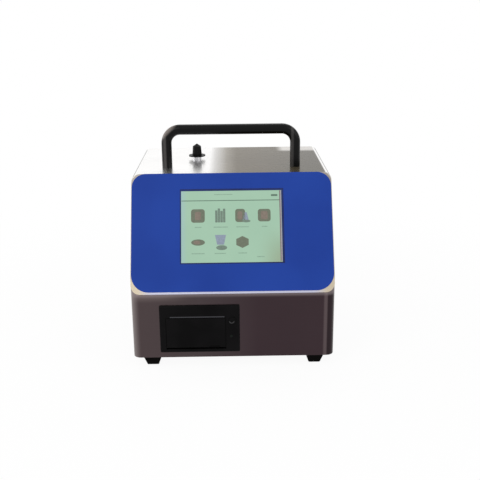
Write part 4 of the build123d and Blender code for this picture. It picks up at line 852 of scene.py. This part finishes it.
class COUNTER_OT_printer(bpy.types.Operator):
    """Gives the panel printer its black moulding, head, lamp, paper, tear bar and a painted
    highlight on the button's rim
    """

    bl_idname = "counter.printer"
    bl_label = "Finish the printer"

    # The painted highlight on the rim starts below the right of the button's face and runs
    # clockwise.
    RIM_RADIUS = 2.7 * MM
    RIM_WIDTH = 0.9 * MM
    RIM_HEIGHT = 0.08 * MM
    RIM_START = math.radians(-15)
    RIM_SWEEP = math.radians(-150)

    def execute(self, context):
        metals = context.scene.counter_metals
        shades = context.scene.counter_plastics
        black = moulded("printer_moulding", shades.printer, 0.34, 0.05, 1400, 0.00002)
        black.dress("printer_black")
        moulded("print_head_ceramic", shades.head, 0.3, 0.5).dress("head_ceramic")
        moulded("lamp_lens_finish", shades.lamp, 0.2, 0.1).dress("lamp_lens")
        paper = moulded("paper_roll_finish", shades.paper, 0.7, 0.2, 600, 0.00002, 0.03)
        paper.dress("paper_white")
        metal("tear_bar_finish", metals.tear_bar, 0.4, 2400).dress_node("tear_bar")
        # A grey arc on the feed button: a painted highlight.
        mark = moulded("printer_mark_finish", shades.button_highlight, 0.4, 0.2)
        self.button_highlight(mark.material)
        return {"FINISHED"}

    def button_highlight(self, material):
        """A painted highlight on the lower half of the rim that runs round the button's face."""
        middle = middle_of("feed_button")
        middle.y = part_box("feed_button")[0][1]
        upright = Matrix.Rotation(math.pi / 2, 4, "X")
        mesh = bmesh.new()
        bmesh.ops.create_grid(
            mesh, x_segments=1, y_segments=1, size=0.5,
            matrix=Matrix.Translation((self.RIM_RADIUS, 0, self.RIM_HEIGHT / 2))
            @ upright @ Matrix.Diagonal((self.RIM_WIDTH, self.RIM_HEIGHT, 1, 1)),
        )
        bmesh.ops.spin(
            mesh, geom=[*mesh.faces, *mesh.edges, *mesh.verts], cent=(0, 0, 0), axis=(0, 0, 1),
            angle=self.RIM_SWEEP, steps=24,
        )
        face = plane_of(middle, (1, 0, 0), (0, 0, 1)) @ Matrix.Rotation(self.RIM_START, 4, "Z")
        add_piece("button_highlight", placed(mesh, face), material, "feed_button")


class COUNTER_OT_handle_and_port(bpy.types.Operator):
    """Gives the carrying handle and the capped sampling port their finishes"""

    bl_idname = "counter.handle_and_port"
    bl_label = "Finish the handle and port"

    def execute(self, context):
        metals = context.scene.counter_metals
        shades = context.scene.counter_plastics
        self.handle_coat(shades).dress("handle_black")
        moulded("cap_moulding", shades.cap, 0.36, 0.12, 1400, 0.00002).dress("cap_black")
        metal("turned_alloy", metals.turned, 0.24, 2400, (1, 1, 0.05)).dress("port_metal")
        return {"FINISHED"}

    def handle_coat(self, shades):
        """A satin black coat with painted highlights in grey on the legs' outer left and over the
        left bend.
        """
        coat = Finish("handle_coat", Specular_IOR_Level=0.14)
        low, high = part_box("carry_handle")
        radius = (high[1] - low[1]) / 2
        grains = coat.noise(1100, 3.0)
        cloud = coat.noise(28, 2.0, (1, 1, 0.3))
        leg = high[0] - radius
        off_left = (coat.x - low[0]) / (2 * radius)
        off_right = (coat.x - (leg - radius)) / (2 * radius)
        # Painted highlights: grey strips on the front left of both legs and over the left bend.
        leg_highlight = off_left.between(0.08, 0.3) * off_left.between(0.56, 0.4)
        leg_highlight = leg_highlight + off_right.between(0.0, 0.12) * off_right.between(0.4, 0.24) * 0.8
        in_front = coat.y.between(low[1] + radius, low[1] + radius * 0.6)
        leg_highlight = leg_highlight * in_front * (0.6 + cloud.between(0.3, 0.7) * 0.4)
        from_corner = (coat.x - low[0]) + (high[2] - coat.z)
        bend_highlight = from_corner.between(21 * MM, 14 * MM) * coat.y.between(high[1], low[1] + radius)
        highlighted = coat.mix(leg_highlight, shades.handle, shades.handle_highlight)
        coat.paint("Base Color", coat.mix(bend_highlight * 0.8, highlighted, shades.handle_bend_highlight))
        coat.paint("Roughness", 0.28 + (grains - 0.5) * 0.16 + (cloud - 0.5) * 0.1)
        coat.bump(grains, 0.00003)
        return coat


class COUNTER_OT_works(bpy.types.Operator):
    """Gives the sensor, pump, boards and hoses inside the case their finishes"""

    bl_idname = "counter.works"
    bl_label = "Finish the works"

    def execute(self, context):
        metals = context.scene.counter_metals
        shades = context.scene.counter_plastics
        hose = moulded("silicone_hose", shades.silicone, 0.32, 0.5, 700, 0.00002, 0.05)
        hose.dress("hose_clear")
        metal("anodised_block", metals.anodised, 0.42, 1600).dress("block_alloy")
        metal("motor_can", metals.motor, 0.3, 1200, (1, 1, 0.04)).dress("motor_steel")
        capsule = moulded("filter_capsule_finish", shades.capsule, 0.4, 0.5, 500, 0.00002, 0.04)
        capsule.dress("filter_white")
        board = moulded("solder_resist", shades.board, 0.25, 0.5, 500, 0.00003, 0.3)
        board.dress("circuit_green")
        metal("supply_case", metals.supply, 0.34, 800).dress("supply_metal")
        metal("brass_turned", metals.brass, 0.28, 1600).dress("brass_posts")
        return {"FINISHED"}


class COUNTER_OT_rear_fittings(bpy.types.Operator):
    """Gives the fan, inlet and switch their black housings and marks the switch"""

    bl_idname = "counter.rear_fittings"
    bl_label = "Finish the rear fittings"

    MARK_HEIGHT = 0.12 * MM
    RING_RADIUS = 1.9 * MM
    RING_WIDTH = 0.6 * MM
    BAR_SIZE = (0.7 * MM, 3.8 * MM)
    ROCKER_LEAN = math.radians(16)

    def execute(self, context):
        shades = context.scene.counter_plastics
        black = moulded("housing_moulding", shades.housing, 0.42, 0.4, 1200, 0.00003)
        black.dress("housing_black")
        self.rocker_marks(moulded("rocker_mark_finish", shades.rocker_mark, 0.5, 0.2).material)
        return {"FINISHED"}

    def rocker_marks(self, white):
        """The white OFF and ON marks, a ring and a bar, on the rocker's two faces."""
        across = (-1, 0, 0)
        off_side = plane_of(flat_middle("switch_rocker", Vector((0, 1, 0))), across, (0, 0, 1))
        mesh = bmesh.new()
        bmesh.ops.create_circle(
            mesh, cap_ends=True, cap_tris=False, segments=32, radius=self.RING_RADIUS
        )
        hollowed(mesh, self.RING_WIDTH, self.MARK_HEIGHT)
        add_piece("rocker_off_mark", placed(mesh, off_side), white, "power_rocker")

        outward = Vector((0, math.cos(self.ROCKER_LEAN), -math.sin(self.ROCKER_LEAN)))
        up = (0, math.sin(self.ROCKER_LEAN), math.cos(self.ROCKER_LEAN))
        on_side = plane_of(flat_middle("switch_rocker", outward), across, up)
        mesh = bmesh.new()
        field_block(mesh, *self.BAR_SIZE, self.MARK_HEIGHT)
        add_piece("rocker_on_mark", placed(mesh, on_side), white, "power_rocker")


class COUNTER_OT_feet_and_screws(bpy.types.Operator):
    """Gives the rubber feet, seals and plated fasteners their finishes"""

    bl_idname = "counter.feet_and_screws"
    bl_label = "Finish the feet and screws"

    def execute(self, context):
        metals = context.scene.counter_metals
        shades = context.scene.counter_plastics
        moulded("foot_rubber", shades.rubber, 0.62, 0.03, 1600, 0.00006).dress("rubber_black")
        metal("plated_steel_finish", metals.plated, 0.26, 1800).dress("plated_steel")
        return {"FINISHED"}


class COUNTER_OT_stage(bpy.types.Operator):
    """Sets the pale floor, the soft light and the camera"""

    bl_idname = "counter.stage"
    bl_label = "Set the stage"

    # Each lamp's place and size in metres, and its share of the lamp power.
    LAMPS = {
        "key_lamp": ((-1.1, -1.3, 1.6), 1.3, 1.0),
        "fill_lamp": ((1.3, -0.9, 1.1), 1.2, 0.45),
        "back_lamp": ((0.2, 1.1, 1.9), 1.0, 0.3),
        "rim_lamp": ((-1.5, 0.5, 0.6), 0.6, 0.3),
    }
    SEEN_RAYS = ("Is Camera Ray", "Is Glossy Ray", "Is Transmission Ray")
    SENSOR_WIDTH = 36
    FLOOR_SIZE = 12

    def execute(self, context):
        studio = context.scene.counter_studio
        context.scene.view_settings.view_transform = "Standard"
        self.floor()
        self.surroundings(context.scene, studio.ambient)
        for name, (place, size, share) in self.LAMPS.items():
            self.lamp(name, place, size, studio.lamp_power * share)
        self.camera(context.scene, studio)
        return {"FINISHED"}

    def floor(self):
        """A pale floor that the camera and reflections see nearly white, with a faint shadow."""
        mesh = bmesh.new()
        bmesh.ops.create_grid(mesh, x_segments=1, y_segments=1, size=self.FLOOR_SIZE)
        data = bpy.data.meshes.new("floor")
        mesh.to_mesh(data)
        mesh.free()
        floor = bpy.data.objects.new("floor", data)
        bpy.context.scene.collection.objects.link(floor)
        finish = Finish(
            "floor_finish", Base_Color=(0.92, 0.92, 0.92), Roughness=0.9, Specular_IOR_Level=0.0
        )
        white = finish.node("ShaderNodeEmission", inputs={"Color": (1, 1, 1), "Strength": 1.0})
        path = finish.node("ShaderNodeLightPath")
        seen = sum(Field(finish, path.outputs[ray]) for ray in self.SEEN_RAYS)
        away = finish.node("ShaderNodeVectorMath", {"operation": "LENGTH"}, {0: finish.coordinates})
        far = Field(finish, away.outputs["Value"]).between(0.3, 0.7)
        share = seen.between(0, 1) * (0.94 + far * 0.06)
        both = finish.node("ShaderNodeMixShader", inputs={0: share})
        finish.tree.links.new(finish.shader.outputs[0], both.inputs[1])
        finish.tree.links.new(white.outputs[0], both.inputs[2])
        output = finish.tree.nodes["Material Output"]
        finish.tree.links.new(both.outputs[0], output.inputs["Surface"])
        data.materials.append(finish.material)

    def surroundings(self, scene, ambient):
        """An even white world: full strength where it is seen, softer as light."""
        world = bpy.data.worlds.new("studio_world")
        world.use_nodes = True
        scene.world = world
        tree = world.node_tree
        soft = tree.nodes["Background"]
        soft.inputs["Color"].default_value = (1, 1, 1, 1)
        soft.inputs["Strength"].default_value = ambient
        seen = tree.nodes.new("ShaderNodeBackground")
        seen.inputs["Color"].default_value = (1, 1, 1, 1)
        seen.inputs["Strength"].default_value = 1.0
        path = tree.nodes.new("ShaderNodeLightPath")
        total = None
        for ray in self.SEEN_RAYS:
            if total is None:
                total = path.outputs[ray]
                continue
            either = tree.nodes.new("ShaderNodeMath")
            either.operation = "MAXIMUM"
            tree.links.new(total, either.inputs[0])
            tree.links.new(path.outputs[ray], either.inputs[1])
            total = either.outputs[0]
        both = tree.nodes.new("ShaderNodeMixShader")
        tree.links.new(total, both.inputs[0])
        tree.links.new(soft.outputs[0], both.inputs[1])
        tree.links.new(seen.outputs[0], both.inputs[2])
        tree.links.new(both.outputs[0], tree.nodes["World Output"].inputs["Surface"])

    def lamp(self, name, place, size, power):
        """A square soft lamp that faces the middle of the object."""
        data = bpy.data.lights.new(name, "AREA")
        data.shape = "SQUARE"
        data.size = size
        data.energy = power
        lamp = bpy.data.objects.new(name, data)
        bpy.context.scene.collection.objects.link(lamp)
        low, high = CAD_BOX
        aim = (Vector(low) + Vector(high)) / 2
        lamp.location = place
        lamp.rotation_euler = (aim - Vector(place)).to_track_quat("-Z", "Y").to_euler()

    def camera(self, scene, studio):
        """The camera stands in front of the object and looks down on it a little."""
        data = bpy.data.cameras.new("camera")
        data.sensor_width = self.SENSOR_WIDTH
        data.lens = studio.focal_length
        camera = bpy.data.objects.new("camera", data)
        scene.collection.objects.link(camera)
        scene.camera = camera
        target = Vector((0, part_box("case_shell")[0][1], studio.target_height))
        back = Vector((0, -math.cos(studio.elevation), math.sin(studio.elevation)))
        place = target + back * studio.distance
        aim = (-back).to_track_quat("-Z", "Y").to_matrix()
        panned = Matrix.Rotation(-studio.pan, 3, "Z") @ aim
        rolled = panned @ Matrix.Rotation(-studio.roll, 3, "Z")
        camera.matrix_world = Matrix.Translation(place) @ rolled.to_4x4()


class COUNTER_PT_tools(bpy.types.Panel):
    """Lists the steps that dress the particle counter"""

    bl_idname = "COUNTER_PT_tools"
    bl_label = "Particle counter"
    bl_space_type = "VIEW_3D"
    bl_region_type = "UI"
    bl_category = "Counter"

    def draw(self, context):
        for operator in OPERATORS:
            self.layout.operator(operator.bl_idname)


GROUPS = {
    "counter_metals": CounterMetals,
    "counter_plastics": CounterPlastics,
    "counter_screen": CounterScreen,
    "counter_studio": CounterStudio,
}
OPERATORS = (
    COUNTER_OT_sheet_metal,
    COUNTER_OT_feet_and_screws,
    COUNTER_OT_front_panel,
    COUNTER_OT_screen,
    COUNTER_OT_printer,
    COUNTER_OT_handle_and_port,
    COUNTER_OT_works,
    COUNTER_OT_rear_fittings,
    COUNTER_OT_stage,
)


def register():
    """Registers the settings, the operators and the panel."""
    for name, group in GROUPS.items():
        bpy.utils.register_class(group)
        setattr(bpy.types.Scene, name, PointerProperty(type=group))
    for operator in OPERATORS:
        bpy.utils.register_class(operator)
    bpy.utils.register_class(COUNTER_PT_tools)


def unregister():
    """Takes away what register added."""
    bpy.utils.unregister_class(COUNTER_PT_tools)
    for operator in reversed(OPERATORS):
        bpy.utils.unregister_class(operator)
    for name, group in GROUPS.items():
        delattr(bpy.types.Scene, name)
        bpy.utils.unregister_class(group)


def main():
    """Dresses the frame, running every step in turn."""
    register()
    for operator in OPERATORS:
        step = operator.bl_idname.split(".")[1]
        getattr(bpy.ops.counter, step)()


if __name__ == "__main__":
    main()
